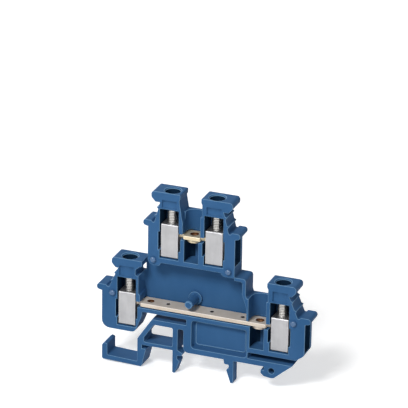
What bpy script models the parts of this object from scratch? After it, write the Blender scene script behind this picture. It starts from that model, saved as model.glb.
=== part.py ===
"""Double level screw terminal block for a 35 mm top-hat rail.

The block is a thin slice, open on its front side (-Y). X runs along the block, Z is up, and the
origin is on the rail seat, above the middle of the rail and in the middle of the thickness.
One moulded housing holds two levels. Each level has a current bar, and a lifting clamp at both
ends of it: a cage that climbs on its screw and pulls the wire up against the bar.
"""

import bpy
import bmesh
from dataclasses import dataclass
from math import acos, asin, ceil, cos, hypot, pi, radians, sin, sqrt, tan
from mathutils import Matrix, Vector

MM = 0.001

# Slice of the block, across the row
THICKNESS = 6.2 * MM
BACK_WALL = 0.8 * MM
OPEN_FACE_Y = -THICKNESS / 2
BACK_FACE_Y = THICKNESS / 2
WELL_FACE_Y = BACK_FACE_Y - BACK_WALL

# Clearances
REST_GAP = 0.3 * MM
RUN_GAP = 0.3 * MM
CUT_OVER = 1.0 * MM

# Rail that the block hangs on
RAIL_WIDTH = 35.0 * MM
RAIL_LIP = 1.0 * MM
RAIL_PLAY = 0.15 * MM

# Clamp centres along the block, and the heights of the two levels
UPPER_LEFT_X = -11.35 * MM
UPPER_RIGHT_X = 1.95 * MM
LOWER_LEFT_X = -24.05 * MM
LOWER_RIGHT_X = 21.95 * MM
FLOOR_WALL = 1.45 * MM
POCKET_HEIGHT = 15.0 * MM
UPPER_NECK_HEIGHT = 5.0 * MM
LOWER_NECK_HEIGHT = 5.8 * MM
LEVEL_STEP = 2.1 * MM
LOWER_FLOOR_Z = 5.0 * MM
LOWER_TOP_Z = LOWER_FLOOR_Z + POCKET_HEIGHT + LOWER_NECK_HEIGHT
UPPER_FLOOR_Z = LOWER_TOP_Z + LEVEL_STEP
UPPER_TOP_Z = UPPER_FLOOR_Z + POCKET_HEIGHT + UPPER_NECK_HEIGHT

# Clamping cage: a folded strip around the wire, with a thick threaded roof
CAGE_WIDTH = 5.1 * MM
CAGE_HEIGHT = 10.1 * MM
CAGE_INSET = 0.35 * MM
CAGE_SHEET = 0.8 * MM
CAGE_FLOOR = 1.0 * MM
CAGE_ROOF = 2.0 * MM
CAGE_FOLD_RADIUS = 0.55 * MM
CAGE_WINDOW_RADIUS = 0.25 * MM
CAGE_FRONT_Y = OPEN_FACE_Y + CAGE_INSET
CAGE_BACK_Y = WELL_FACE_Y - RUN_GAP
CLAMP_Y = (CAGE_FRONT_Y + CAGE_BACK_Y) / 2

# Clamp screw
SHANK_DIAMETER = 3.0 * MM
SHANK_GAP = 0.2 * MM
TIP_CHAMFER = 0.45 * MM
HEAD_DIAMETER = 3.8 * MM
HEAD_HEIGHT = 2.1 * MM
HEAD_CHAMFER = 0.25 * MM
SLOT_WIDTH = 0.7 * MM
SLOT_DEPTH = 1.0 * MM

# Screw shaft in the tower, with a lead-in at its mouth
SHAFT_DIAMETER = 4.3 * MM
SHAFT_LEAD_IN = 0.35 * MM

# Current bars, each a little under the roofs of the cages at its ends
BAR_THICKNESS = 1.1 * MM
BAR_ROOF_GAP = 0.5 * MM
BAR_RISE = REST_GAP + CAGE_HEIGHT - CAGE_ROOF - BAR_ROOF_GAP - BAR_THICKNESS
BAR_FRONT_INSET = 0.2 * MM
BAR_END_PAST_AXIS = 1.9 * MM
BAR_CORNER = 0.4 * MM
COLLAR_DIAMETER = 4.2 * MM
COLLAR_DROP = 0.95 * MM
COLLAR_BORE = 2.5 * MM
BAR_HOLE_DIAMETER = 1.2 * MM
BAR_HOLES_X = (-12.3 * MM, 0.9 * MM, 10.1 * MM)

# Bridge shafts between the towers, and the narrower pockets under the bars
LOWER_WELL_INSET = 6.65 * MM
UPPER_WELL_X = (UPPER_LEFT_X + UPPER_RIGHT_X) / 2
LOWER_WELL_X = LOWER_RIGHT_X - LOWER_WELL_INSET
WELL_DIAMETER = 5.3 * MM
SUMP_DIAMETER = 4.2 * MM
UPPER_RIM_DROP = 5.7 * MM
LOWER_RIM_DROP = 5.85 * MM
UPPER_RIM_Z = UPPER_TOP_Z - UPPER_RIM_DROP
LOWER_RIM_Z = LOWER_TOP_Z - LOWER_RIM_DROP
WELL_SLOPE_DROP = 2.4 * MM
WELL_SLOPE_TOP_DROP = 0.6 * MM
WELL_SLOPE_DEPTH = 2.2 * MM

# Cage pockets
POCKET_SIDE_GAP = 0.3 * MM
BAR_SLOT_REACH = 0.5 * MM
WIRE_SLOT_REACH = 0.45 * MM
BAR_SLOT_RISE = 2.7 * MM
WIRE_SLOT_RISE = 2.4 * MM
WIRE_SLOT_HEIGHT = 5.6 * MM

# Towers: outer flank, measured outwards from the clamp axis and down from the top face
UPPER_NOSE = 5.45 * MM
LOWER_NOSE = 4.6 * MM
NOSE_HEIGHT = 3.1 * MM
NOSE_RADIUS = 0.95 * MM
UPPER_NECK = 2.85 * MM
LOWER_NECK = 2.65 * MM
UPPER_GROOVE = 4.45 * MM
LOWER_GROOVE = 5.35 * MM
GROOVE_DROP = 9.4 * MM
MARKER_RIDGE_DROPS = (4.3 * MM, 6.9 * MM)
MARKER_RIDGE_HEIGHT = 0.6 * MM
MARKER_RIDGE_BASE = 0.85 * MM
LEDGE_DROP = 8.9 * MM
LEDGE_THICKNESS = 1.95 * MM
LEDGE_RADIUS = 0.75 * MM
UPPER_LEDGE = 7.8 * MM
LOWER_LEDGE = 9.1 * MM
UPPER_WALL = 6.35 * MM
LOWER_WALL = 7.55 * MM

# Towers: inner lip and neck
UPPER_LEFT_LIP = 3.2 * MM
UPPER_RIGHT_LIP = 3.85 * MM
LOWER_LEFT_LIP = 4.6 * MM
LOWER_RIGHT_LIP = 3.9 * MM
INNER_WALL = 0.7 * MM
LIP_HEIGHT = 1.6 * MM
EDGE_RADIUS = 0.3 * MM
CORNER_RADIUS = 0.5 * MM

# Neck front, sunk beside the round bulge of the screw shaft
NECK_SINK = 0.55 * MM
BULGE_RADIUS = 4.0 * MM
BULGE_SINK = 0.2 * MM
NECK_SINK_HALF_WIDTH = 2.2 * MM
NECK_SINK_BELOW_TOP = 2.3 * MM
NECK_SINK_ABOVE_POCKET = 0.5 * MM

# Wire entries in the outer walls
ENTRY_WIDTH = 4.5 * MM
ENTRY_SILL = 0.8 * MM
ENTRY_LINTEL = 0.35 * MM

# Middle of the housing
RIB = 1.0 * MM
BAR_RIB = 1.2 * MM
SHELF_DROP = 2.15 * MM
SHELF_SIDE_HEIGHT = 4.85 * MM
SHELF_SLOPE_HEIGHT = 4.0 * MM
SHELF_END_INSET = 10.2 * MM
SHELF_FOOT_INSET = 8.85 * MM
SHELF_END_X = LOWER_RIGHT_X - SHELF_END_INSET
SHELF_FOOT_X = LOWER_RIGHT_X - SHELF_FOOT_INSET
SHELF_TOP_Z = UPPER_FLOOR_Z - SHELF_DROP
SHELF_BEND_Z = SHELF_TOP_Z - SHELF_SIDE_HEIGHT
SHELF_FOOT_Z = SHELF_BEND_Z - SHELF_SLOPE_HEIGHT
SHELF_RADIUS = 0.9 * MM
BOSS_RADIUS = 1.75 * MM
BAY_CORNER = 0.8 * MM
BAY_STEP_RISE = 2.8 * MM
NECK_WINDOW_MARGIN = 1.2 * MM
BELLY_RADIUS = 1.5 * MM
LEFT_BELLY_RADIUS = 2.4 * MM
RIGHT_BELLY_OUT = 2.2 * MM

# Pegs that key into the next block, and the sockets behind them
PEG_DIAMETER = 1.8 * MM
PEG_LENGTH = 0.85 * MM
PEG_CHAMFER = 0.35 * MM
PEG_PLAY = 0.15 * MM
PEG_SOCKET_DEPTH = 1.1 * MM
LONG_PEG_DIAMETER = 2.4 * MM
LONG_PEG_X = -4.95 * MM
LONG_PEG_RISE = 2.35 * MM
LONG_PEG_Z = LOWER_FLOOR_Z + BAR_RISE + BAR_THICKNESS + LONG_PEG_RISE
LONG_PEG_CHAMFER = 0.25 * MM
LONG_PEG_ROOT_DIAMETER = 3.9 * MM
LONG_PEG_ROOT_HEIGHT = 0.9 * MM
UPPER_PEG_OUT = 4.6 * MM
LOWER_PEG_OUT = 4.2 * MM
UPPER_PEG_RISE = -0.7 * MM
LOWER_PEG_RISE = 9.9 * MM

# Sunk panel and the groove under the right clamp
PANEL_LEFT_X = -4.25 * MM
PANEL_END_INSET = 9.6 * MM
PANEL_RIGHT_X = LOWER_RIGHT_X - PANEL_END_INSET
PANEL_DEPTH = 1.8 * MM
PANEL_CORNER = 0.9 * MM
PANEL_FRAME_INSET = 0.7 * MM
PANEL_FRAME_WIDTH = 0.3 * MM
PANEL_FRAME_HEIGHT = 0.2 * MM
GROOVE_WEB = 0.35 * MM
GROOVE_LEFT_X = PANEL_RIGHT_X + GROOVE_WEB

# Foot, which grips the rail's lips
FOOT_BAR = 1.65 * MM
FOOT_LOWER_BAR = 1.05 * MM
FOOT_TOP_BAR = 1.6 * MM
FOOT_TOP_Z = 8.5 * MM
FOOT_SLOPE_FOOT_Z = 1.85 * MM
FOOT_BEND_RISE = 0.6 * MM
FOOT_POST_X = -8.4 * MM
FOOT_POST_WIDTH = 1.5 * MM
FOOT_SPRING_LEFT_X = -6.65 * MM
FOOT_SPRING_WIDTH = 1.15 * MM
FOOT_SPRING_RADIUS = 1.5 * MM
FOOT_TOP_INSET = 3.05 * MM
CLAW_SLOT_END_X = -19.3 * MM
FOOT_TOP_LEFT_X = CLAW_SLOT_END_X + FOOT_TOP_INSET
CLAW_ARM = 1.35 * MM
CLAW_HOOK = 1.3 * MM
CLAW_BOTTOM_Z = -6.85 * MM
CLAW_TAPER = 1.35 * MM
TAB_LENGTH = 12.25 * MM
TAB_END_X = CLAW_SLOT_END_X - TAB_LENGTH
TAB_PLATE = 1.45 * MM
TAB_UPSTAND_Z = -1.35 * MM
TAB_UPSTAND_WIDTH = 1.65 * MM
TAB_UPSTAND_CHAMFER = 0.7 * MM
TAB_RISE = 0.35 * MM
FIXED_CLAW_REACH = 0.95 * MM
FIXED_CLAW_DEPTH = 2.2 * MM
FIXED_CLAW_HOOK = 1.0 * MM
FIXED_CLAW_TIP_RISE = 0.4 * MM
FIXED_CLAW_TIP_RADIUS = 2.0 * MM
FIXED_CLAW_CHEEK = 3.2 * MM
FIXED_CLAW_CHEEK_RADIUS = 6.0 * MM
FIXED_CLAW_TOP_OUT = 8.65 * MM
FIXED_CLAW_HOLE_OUT = 2.4 * MM
FIXED_CLAW_TOP_X = RAIL_WIDTH / 2 + FIXED_CLAW_TOP_OUT
FIXED_CLAW_HOLE_X = RAIL_WIDTH / 2 + FIXED_CLAW_HOLE_OUT
FIXED_CLAW_HOLE_Z = -0.95 * MM
FIXED_CLAW_HOLE_DIAMETER = 1.8 * MM

# Prongs that reach down into the rail: a collar under the rib, a neck, and a barb over a taper
PRONG_DEPTH = 3.2 * MM
PRONG_COLLAR_WIDTH = 3.0 * MM
PRONG_COLLAR_TAPER = 0.2 * MM
PRONG_COLLAR_Z = -1.4 * MM
PRONG_NECK_WIDTH = 1.4 * MM
PRONG_BARB_WIDTH = 2.15 * MM
PRONG_BARB_TOP_Z = -2.5 * MM
PRONG_BARB_Z = -3.05 * MM
PRONG_TIP_WIDTH = 0.8 * MM
PRONG_BOTTOM_Z = -6.95 * MM
RIGHT_PRONG_X = 8.55 * MM
LEFT_PRONG_ROOT_WIDTH = 1.2 * MM
LEFT_PRONG_SHOULDER_Z = -0.5 * MM

ARC_STEP = radians(22.5)
ROUND_STEPS = 24


@dataclass(frozen=True)
class Tower:
    """One clamp tower of the housing, and the sizes that differ between the four."""

    name: str
    axis_x: float
    side: int
    floor_z: float
    top_z: float
    nose: float
    neck: float
    groove: float
    ledge: float
    wall: float
    lip: float

    def x(self, outward):
        """World X of a place measured outwards from the clamp axis."""
        return self.axis_x + self.side * outward

    @property
    def pocket_top(self):
        """Height of the pocket's roof."""
        return self.floor_z + POCKET_HEIGHT

    @property
    def ledge_bottom(self):
        """Height of the underside of the marker ledge, where the wire entry's wall begins."""
        return self.top_z - LEDGE_DROP - LEDGE_THICKNESS

    @property
    def bar_bottom(self):
        """Height of the underside of this level's current bar."""
        return self.floor_z + BAR_RISE


UPPER_LEFT = Tower("upper_left", UPPER_LEFT_X, -1, UPPER_FLOOR_Z, UPPER_TOP_Z, UPPER_NOSE, UPPER_NECK,
                   UPPER_GROOVE, UPPER_LEDGE, UPPER_WALL, UPPER_LEFT_LIP)
UPPER_RIGHT = Tower("upper_right", UPPER_RIGHT_X, 1, UPPER_FLOOR_Z, UPPER_TOP_Z, UPPER_NOSE, UPPER_NECK,
                    UPPER_GROOVE, UPPER_LEDGE, UPPER_WALL, UPPER_RIGHT_LIP)
LOWER_LEFT = Tower("lower_left", LOWER_LEFT_X, -1, LOWER_FLOOR_Z, LOWER_TOP_Z, LOWER_NOSE, LOWER_NECK,
                   LOWER_GROOVE, LOWER_LEDGE, LOWER_WALL, LOWER_LEFT_LIP)
LOWER_RIGHT = Tower("lower_right", LOWER_RIGHT_X, 1, LOWER_FLOOR_Z, LOWER_TOP_Z, LOWER_NOSE, LOWER_NECK,
                    LOWER_GROOVE, LOWER_LEDGE, LOWER_WALL, LOWER_RIGHT_LIP)
TOWERS = (UPPER_LEFT, UPPER_RIGHT, LOWER_LEFT, LOWER_RIGHT)

POCKET_HALF = CAGE_WIDTH / 2 + POCKET_SIDE_GAP
INNER_FACE = POCKET_HALF + INNER_WALL
DEEP_WALL = POCKET_HALF + BAR_SLOT_REACH + INNER_WALL


# Scene helpers

def clear_scene():
    """Remove every object that is in the file."""
    for obj in list(bpy.data.objects):
        bpy.data.objects.remove(obj, do_unlink=True)


def new_collection(name):
    """Add a collection to the scene and return it."""
    collection = bpy.data.collections.new(name)
    bpy.context.scene.collection.children.link(collection)
    return collection


def new_material(name, color, roughness, metallic):
    """Make a plain Principled material."""
    material = bpy.data.materials.new(name)
    material.use_nodes = True
    shader = material.node_tree.nodes["Principled BSDF"]
    shader.inputs["Base Color"].default_value = (*color, 1.0)
    shader.inputs["Roughness"].default_value = roughness
    shader.inputs["Metallic"].default_value = metallic
    return material


def link_mesh(name, mesh, collection):
    """Link a mesh to a collection as a new object."""
    obj = bpy.data.objects.new(name, mesh)
    collection.objects.link(obj)
    return obj


def as_cutter(obj):
    """Hide an object that only shapes another one."""
    obj.hide_render = True
    obj.display_type = "WIRE"
    return obj


def shape_with(target, tool, operation):
    """Add an exact Boolean to target, with tool as its other operand."""
    modifier = target.modifiers.new(tool.name, "BOOLEAN")
    modifier.operation = operation
    modifier.solver = "EXACT"
    modifier.object = tool


# Outlines and solids

def rounded(corners):
    """Turn corners (a, b) or (a, b, radius) of a closed outline into points, with arcs at the radii."""
    points = []
    count = len(corners)
    for index, corner in enumerate(corners):
        here = Vector(corner[:2])
        radius = corner[2] if len(corner) > 2 else 0.0
        before = Vector(corners[index - 1][:2]) - here
        after = Vector(corners[(index + 1) % count][:2]) - here
        if radius <= 0.0:
            points.append(here)
            continue
        to_before = before.normalized()
        to_after = after.normalized()
        half_angle = acos(max(-1.0, min(1.0, to_before.dot(to_after)))) / 2
        tangent = min(radius / tan(half_angle), 0.49 * before.length, 0.49 * after.length)
        arc_radius = tangent * tan(half_angle)
        centre = here + (to_before + to_after).normalized() * hypot(tangent, arc_radius)
        start = here + to_before * tangent - centre
        turn = start.angle_signed(here + to_after * tangent - centre)
        steps = max(1, ceil(abs(turn) / ARC_STEP))
        for step in range(steps + 1):
            angle = -turn * step / steps
            points.append(centre + Matrix.Rotation(angle, 2) @ start)
    return points


PLANES = {
    "XZ": Matrix(((1, 0, 0), (0, 0, -1), (0, 1, 0))).to_4x4(),
    "XY": Matrix.Identity(4),
    "YZ": Matrix(((0, 0, 1), (1, 0, 0), (0, 1, 0))).to_4x4(),
}
NORMALS = {"XZ": Vector((0, 1, 0)), "XY": Vector((0, 0, 1)), "YZ": Vector((1, 0, 0))}


def prism(name, outlines, plane, low, high, collection):
    """Extrude flat outlines, the first one outer and the others holes, between two offsets."""
    curve = bpy.data.curves.new(name, "CURVE")
    curve.dimensions = "2D"
    curve.fill_mode = "BOTH"
    curve.extrude = (high - low) / 2
    for outline in outlines:
        spline = curve.splines.new("POLY")
        spline.points.add(len(outline) - 1)
        spline.use_cyclic_u = True
        for point, (a, b) in zip(spline.points, outline):
            point.co = (a, b, 0.0, 1.0)
    flat = bpy.data.objects.new(name + "_curve", curve)
    collection.objects.link(flat)
    flat.matrix_world = Matrix.Translation(NORMALS[plane] * (low + high) / 2) @ PLANES[plane]
    bpy.context.view_layer.update()
    graph = bpy.context.evaluated_depsgraph_get()
    mesh = bpy.data.meshes.new_from_object(flat.evaluated_get(graph))
    solid = link_mesh(name, mesh, collection)
    solid.matrix_world = flat.matrix_world
    bpy.data.objects.remove(flat, do_unlink=True)
    weld(mesh)
    return solid


def weld(mesh):
    """Join a mesh's doubled points, make each flat side one face, and turn the faces outwards."""
    shell = bmesh.new()
    shell.from_mesh(mesh)
    bmesh.ops.remove_doubles(shell, verts=shell.verts, dist=0.002 * MM)
    bmesh.ops.dissolve_limit(shell, angle_limit=radians(0.5), verts=shell.verts, edges=shell.edges)
    bmesh.ops.recalc_face_normals(shell, faces=shell.faces)
    shell.to_mesh(mesh)
    shell.free()


def rectangle(low_a, high_a, low_b, high_b, radius=0.0):
    """Outline of a rectangle, with its corners rounded where a radius is given."""
    return rounded([(low_a, low_b, radius), (high_a, low_b, radius), (high_a, high_b, radius),
                    (low_a, high_b, radius)])


def circle(a, b, diameter):
    """Outline of a circle about (a, b)."""
    turns = [2 * pi * step / ROUND_STEPS for step in range(ROUND_STEPS)]
    return [(a + diameter / 2 * cos(turn), b + diameter / 2 * sin(turn)) for turn in turns]


def turned(name, profile, collection):
    """Turn a profile of (radius, height) points, listed from top to bottom, about Z."""
    mesh = bpy.data.meshes.new(name)
    points = [(radius, 0.0, height) for radius, height in profile]
    mesh.from_pydata(points, [(i, i + 1) for i in range(len(points) - 1)], [])
    obj = link_mesh(name, mesh, collection)
    screw = obj.modifiers.new("Turn", "SCREW")
    screw.axis = "Z"
    screw.angle = 2 * pi
    screw.steps = ROUND_STEPS
    screw.render_steps = ROUND_STEPS
    screw.use_merge_vertices = True
    screw.merge_threshold = 0.001 * MM
    return obj


def rod(name, diameter, low, high, collection, chamfer=0.0):
    """Turn a round rod along Z, with an optional chamfer at its top."""
    radius = diameter / 2
    profile = [(0.0, high), (radius - chamfer, high)]
    if chamfer > 0.0:
        profile.append((radius, high - chamfer))
    profile += [(radius, low), (0.0, low)]
    return turned(name, profile, collection)


# Housing outline

def outer_flank(tower):
    """Corners down the outer side of a tower: nose, neck with marker ridges, groove and ledge."""
    def at(outward, drop, radius=0.0):
        return (tower.x(outward), tower.top_z - drop, radius)

    def slope(drop):
        share = (drop - NOSE_HEIGHT) / (GROOVE_DROP - NOSE_HEIGHT)
        return tower.neck + (tower.groove - tower.neck) * share

    corners = [
        at(tower.nose, 0.0, NOSE_RADIUS),
        at(tower.nose, 1.9 * NOSE_RADIUS, NOSE_RADIUS),
        at(tower.nose - 1.3 * NOSE_RADIUS, NOSE_HEIGHT, EDGE_RADIUS),
        at(tower.neck, NOSE_HEIGHT),
    ]
    for drop in MARKER_RIDGE_DROPS:
        corners.append(at(slope(drop), drop))
        corners.append(at(slope(drop) + MARKER_RIDGE_HEIGHT, drop + 0.3 * MARKER_RIDGE_BASE))
        corners.append(at(slope(drop) + MARKER_RIDGE_HEIGHT, drop + 0.6 * MARKER_RIDGE_BASE))
        corners.append(at(slope(drop + MARKER_RIDGE_BASE), drop + MARKER_RIDGE_BASE))
    lip = tower.groove + 2 * EDGE_RADIUS
    corners += [
        at(tower.groove, GROOVE_DROP, EDGE_RADIUS),
        at(lip, GROOVE_DROP, EDGE_RADIUS),
        at(lip + EDGE_RADIUS, LEDGE_DROP, EDGE_RADIUS),
        at(tower.ledge, LEDGE_DROP, LEDGE_RADIUS),
        at(tower.ledge, LEDGE_DROP + LEDGE_THICKNESS - EDGE_RADIUS, LEDGE_RADIUS),
        at(tower.wall, LEDGE_DROP + LEDGE_THICKNESS),
    ]
    return corners


def inner_lip(tower):
    """Corners down the inner side of a tower, from its top face to its neck."""
    def at(inward, drop, radius=0.0):
        return (tower.x(-inward), tower.top_z - drop, radius)

    neck = min(INNER_FACE, tower.lip - EDGE_RADIUS)
    return [
        at(tower.lip, 0.0, EDGE_RADIUS),
        at(tower.lip, LIP_HEIGHT - EDGE_RADIUS, EDGE_RADIUS),
        at(neck, LIP_HEIGHT + tower.lip - neck),
    ]


def body_outline():
    """Corners of the block seen from the open side, clockwise from the lower left tower."""
    bay_left = LOWER_LEFT.x(-INNER_FACE)
    upper_wall_left = UPPER_LEFT.x(UPPER_WALL)
    upper_wall_right = UPPER_RIGHT.x(UPPER_WALL)
    lower_wall_right = LOWER_RIGHT.x(LOWER_WALL)
    lower_wall_left = LOWER_LEFT.x(LOWER_WALL)
    floor_bottom = LOWER_FLOOR_Z - FLOOR_WALL
    bar_rib_bottom = LOWER_LEFT.bar_bottom - REST_GAP - BAR_RIB

    corners = list(reversed(outer_flank(LOWER_LEFT)))
    corners += [
        (LOWER_LEFT.x(-LOWER_LEFT_LIP), LOWER_TOP_Z),
        (upper_wall_left, UPPER_FLOOR_Z + UPPER_PEG_RISE),
    ]
    corners += list(reversed(outer_flank(UPPER_LEFT)))
    corners += inner_lip(UPPER_LEFT)
    corners += [
        (UPPER_LEFT.x(-INNER_FACE), UPPER_RIM_Z),
        (UPPER_RIGHT.x(-INNER_FACE), UPPER_RIM_Z),
    ]
    corners += list(reversed(inner_lip(UPPER_RIGHT)))
    corners += outer_flank(UPPER_RIGHT)
    corners += [
        (upper_wall_right, SHELF_TOP_Z),
        (SHELF_END_X, SHELF_TOP_Z, SHELF_RADIUS),
        (SHELF_END_X, SHELF_BEND_Z),
        (SHELF_END_X + (SHELF_FOOT_X - SHELF_END_X) * (SHELF_BEND_Z - LOWER_RIM_Z)
         / (SHELF_BEND_Z - SHELF_FOOT_Z), LOWER_RIM_Z),
        (LOWER_RIGHT.x(-INNER_FACE), LOWER_RIM_Z),
    ]
    corners += list(reversed(inner_lip(LOWER_RIGHT)))
    corners += outer_flank(LOWER_RIGHT)
    corners += [
        (lower_wall_right, LOWER_FLOOR_Z + EDGE_RADIUS, BELLY_RADIUS),
        (LOWER_RIGHT.x(POCKET_HALF + RIGHT_BELLY_OUT), floor_bottom, BELLY_RADIUS),
        (FIXED_CLAW_TOP_X, FOOT_BAR, CORNER_RADIUS),
    ]
    corners += fixed_claw()
    corners += foot_outline()
    corners += [
        (FOOT_SPRING_LEFT_X + FOOT_SPRING_WIDTH - EDGE_RADIUS, FOOT_TOP_Z, EDGE_RADIUS),
        (FOOT_SPRING_LEFT_X + FOOT_SPRING_WIDTH - EDGE_RADIUS, bar_rib_bottom, EDGE_RADIUS),
        (bay_left + BAR_RIB, bar_rib_bottom, EDGE_RADIUS),
        (bay_left + BAR_RIB, bar_rib_bottom - BAR_RIB, BELLY_RADIUS),
        (LOWER_LEFT.x(-POCKET_HALF + EDGE_RADIUS), floor_bottom, BELLY_RADIUS),
        (lower_wall_left, floor_bottom, LEFT_BELLY_RADIUS),
    ]
    return corners


def fixed_claw():
    """Corners of the rigid right claw, down its curved outside and into the slot for the rail's lip."""
    lip_end = RAIL_WIDTH / 2 + RAIL_PLAY
    lip_bottom = -RAIL_LIP - RAIL_PLAY
    claw_bottom = lip_bottom - FIXED_CLAW_DEPTH
    return [
        (FIXED_CLAW_HOLE_X + FIXED_CLAW_CHEEK, FIXED_CLAW_HOLE_Z, FIXED_CLAW_CHEEK_RADIUS),
        (FIXED_CLAW_HOLE_X + CORNER_RADIUS, claw_bottom, FIXED_CLAW_TIP_RADIUS),
        (lip_end, claw_bottom + FIXED_CLAW_TIP_RISE, CORNER_RADIUS),
        (lip_end - FIXED_CLAW_REACH, lip_bottom - FIXED_CLAW_HOOK, EDGE_RADIUS),
        (lip_end - FIXED_CLAW_REACH, lip_bottom),
        (lip_end, lip_bottom),
        (lip_end, 0.0),
    ]


def foot_outline():
    """Corners of the springy left foot: spring slot, seat, claw with its slot, and release tab."""
    lip_bottom = -RAIL_LIP - RAIL_PLAY
    slot_top = FOOT_TOP_Z - FOOT_TOP_BAR
    arm_left = CLAW_SLOT_END_X - CLAW_ARM
    tab_bottom = CLAW_BOTTOM_Z + TAB_RISE
    return [
        (FOOT_SPRING_LEFT_X, 0.0, FOOT_SPRING_RADIUS),
        (FOOT_SPRING_LEFT_X, slot_top, CORNER_RADIUS),
        (FOOT_POST_X, slot_top, CORNER_RADIUS),
        (FOOT_POST_X, 0.0),
        (CLAW_SLOT_END_X, 0.0),
        (CLAW_SLOT_END_X, lip_bottom),
        (CLAW_SLOT_END_X + CLAW_HOOK, lip_bottom, EDGE_RADIUS),
        (CLAW_SLOT_END_X + CLAW_HOOK - CLAW_TAPER, CLAW_BOTTOM_Z, CORNER_RADIUS),
        (TAB_END_X, tab_bottom, CORNER_RADIUS),
        (TAB_END_X, TAB_UPSTAND_Z - TAB_UPSTAND_CHAMFER, CORNER_RADIUS),
        (TAB_END_X + TAB_UPSTAND_CHAMFER, TAB_UPSTAND_Z, CORNER_RADIUS),
        (TAB_END_X + TAB_UPSTAND_WIDTH, TAB_UPSTAND_Z - EDGE_RADIUS, EDGE_RADIUS),
        (TAB_END_X + TAB_UPSTAND_WIDTH, tab_bottom + TAB_PLATE, EDGE_RADIUS),
        (arm_left, CLAW_BOTTOM_Z + TAB_PLATE, EDGE_RADIUS),
        (arm_left, FOOT_SLOPE_FOOT_Z, CORNER_RADIUS),
        (FOOT_TOP_LEFT_X, FOOT_TOP_Z, CORNER_RADIUS),
    ]


# Cuts and additions of the housing

def bay_outline():
    """Corners of the wide middle bay, down to the top of the lower bar's channel."""
    left = LOWER_LEFT.x(-INNER_FACE)
    lip_end = LOWER_LEFT.x(-LOWER_LEFT_LIP)
    bay_roof = UPPER_FLOOR_Z - FLOOR_WALL
    bay_floor = LOWER_LEFT.bar_bottom + BAR_THICKNESS / 2
    boss_z = UPPER_FLOOR_Z + UPPER_PEG_RISE
    left_boss = UPPER_LEFT.x(UPPER_PEG_OUT)
    right_boss = UPPER_RIGHT.x(UPPER_PEG_OUT)
    wall_left = UPPER_LEFT.x(UPPER_WALL)
    lip_low = LOWER_TOP_Z - LIP_HEIGHT - EDGE_RADIUS
    step_z = LOWER_LEFT.bar_bottom + BAR_THICKNESS + BAY_STEP_RISE
    return [
        (left + BAR_SLOT_REACH, bay_floor),
        (left + BAR_SLOT_REACH, step_z - BAR_SLOT_REACH, EDGE_RADIUS),
        (left, step_z, EDGE_RADIUS),
        (left, lip_low),
        (lip_end, lip_low + EDGE_RADIUS, EDGE_RADIUS),
        (lip_end, UPPER_FLOOR_Z + CUT_OVER),
        (wall_left, UPPER_FLOOR_Z + CUT_OVER),
        (wall_left, boss_z - BOSS_RADIUS, BOSS_RADIUS),
        (left_boss + BOSS_RADIUS, boss_z - BOSS_RADIUS, BOSS_RADIUS),
        (left_boss + BOSS_RADIUS + CORNER_RADIUS, bay_roof, EDGE_RADIUS),
        (right_boss - BOSS_RADIUS - CORNER_RADIUS, bay_roof, EDGE_RADIUS),
        (right_boss - BOSS_RADIUS, boss_z - BOSS_RADIUS, BOSS_RADIUS),
        (right_boss + BOSS_RADIUS, boss_z - BOSS_RADIUS),
        (right_boss + BOSS_RADIUS, SHELF_TOP_Z - RIB),
        (SHELF_END_X - RIB, SHELF_TOP_Z - RIB, BAY_CORNER),
        (SHELF_END_X - RIB, SHELF_BEND_Z),
        (SHELF_FOOT_X - RIB, SHELF_FOOT_Z),
        (SHELF_FOOT_X - RIB, bay_floor),
    ]


def cut_bay(housing, tools):
    """Open the middle bay, the bar channels and the little window beside the lower left neck."""
    front = OPEN_FACE_Y - CUT_OVER
    bay = prism("cut_bay", [rounded(bay_outline())], "XZ", front, WELL_FACE_Y, tools)
    shape_with(housing, as_cutter(bay), "DIFFERENCE")
    for low, high, name in ((LOWER_LEFT, LOWER_RIGHT, "lower"), (UPPER_LEFT, UPPER_RIGHT, "upper")):
        outline = rectangle(low.axis_x, high.axis_x, low.bar_bottom - REST_GAP,
                            low.bar_bottom + BAR_THICKNESS + REST_GAP)
        channel = prism("cut_bar_channel_" + name, [outline], "XZ", front, WELL_FACE_Y, tools)
        shape_with(housing, as_cutter(channel), "DIFFERENCE")
    neck = LOWER_LEFT.x(-LOWER_NECK)
    shoulder = LOWER_LEFT.pocket_top + NECK_WINDOW_MARGIN
    lip_low = LOWER_TOP_Z - LIP_HEIGHT
    window = [
        (neck, shoulder, EDGE_RADIUS),
        (LOWER_LEFT.x(-INNER_FACE) + EDGE_RADIUS, shoulder),
        (LOWER_LEFT.x(-INNER_FACE) + EDGE_RADIUS, lip_low - EDGE_RADIUS, EDGE_RADIUS),
        (neck, lip_low - NECK_WINDOW_MARGIN, EDGE_RADIUS),
    ]
    notch = prism("cut_neck_window", [rounded(window)], "XZ", front, BACK_FACE_Y + CUT_OVER, tools)
    shape_with(housing, as_cutter(notch), "DIFFERENCE")


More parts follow.
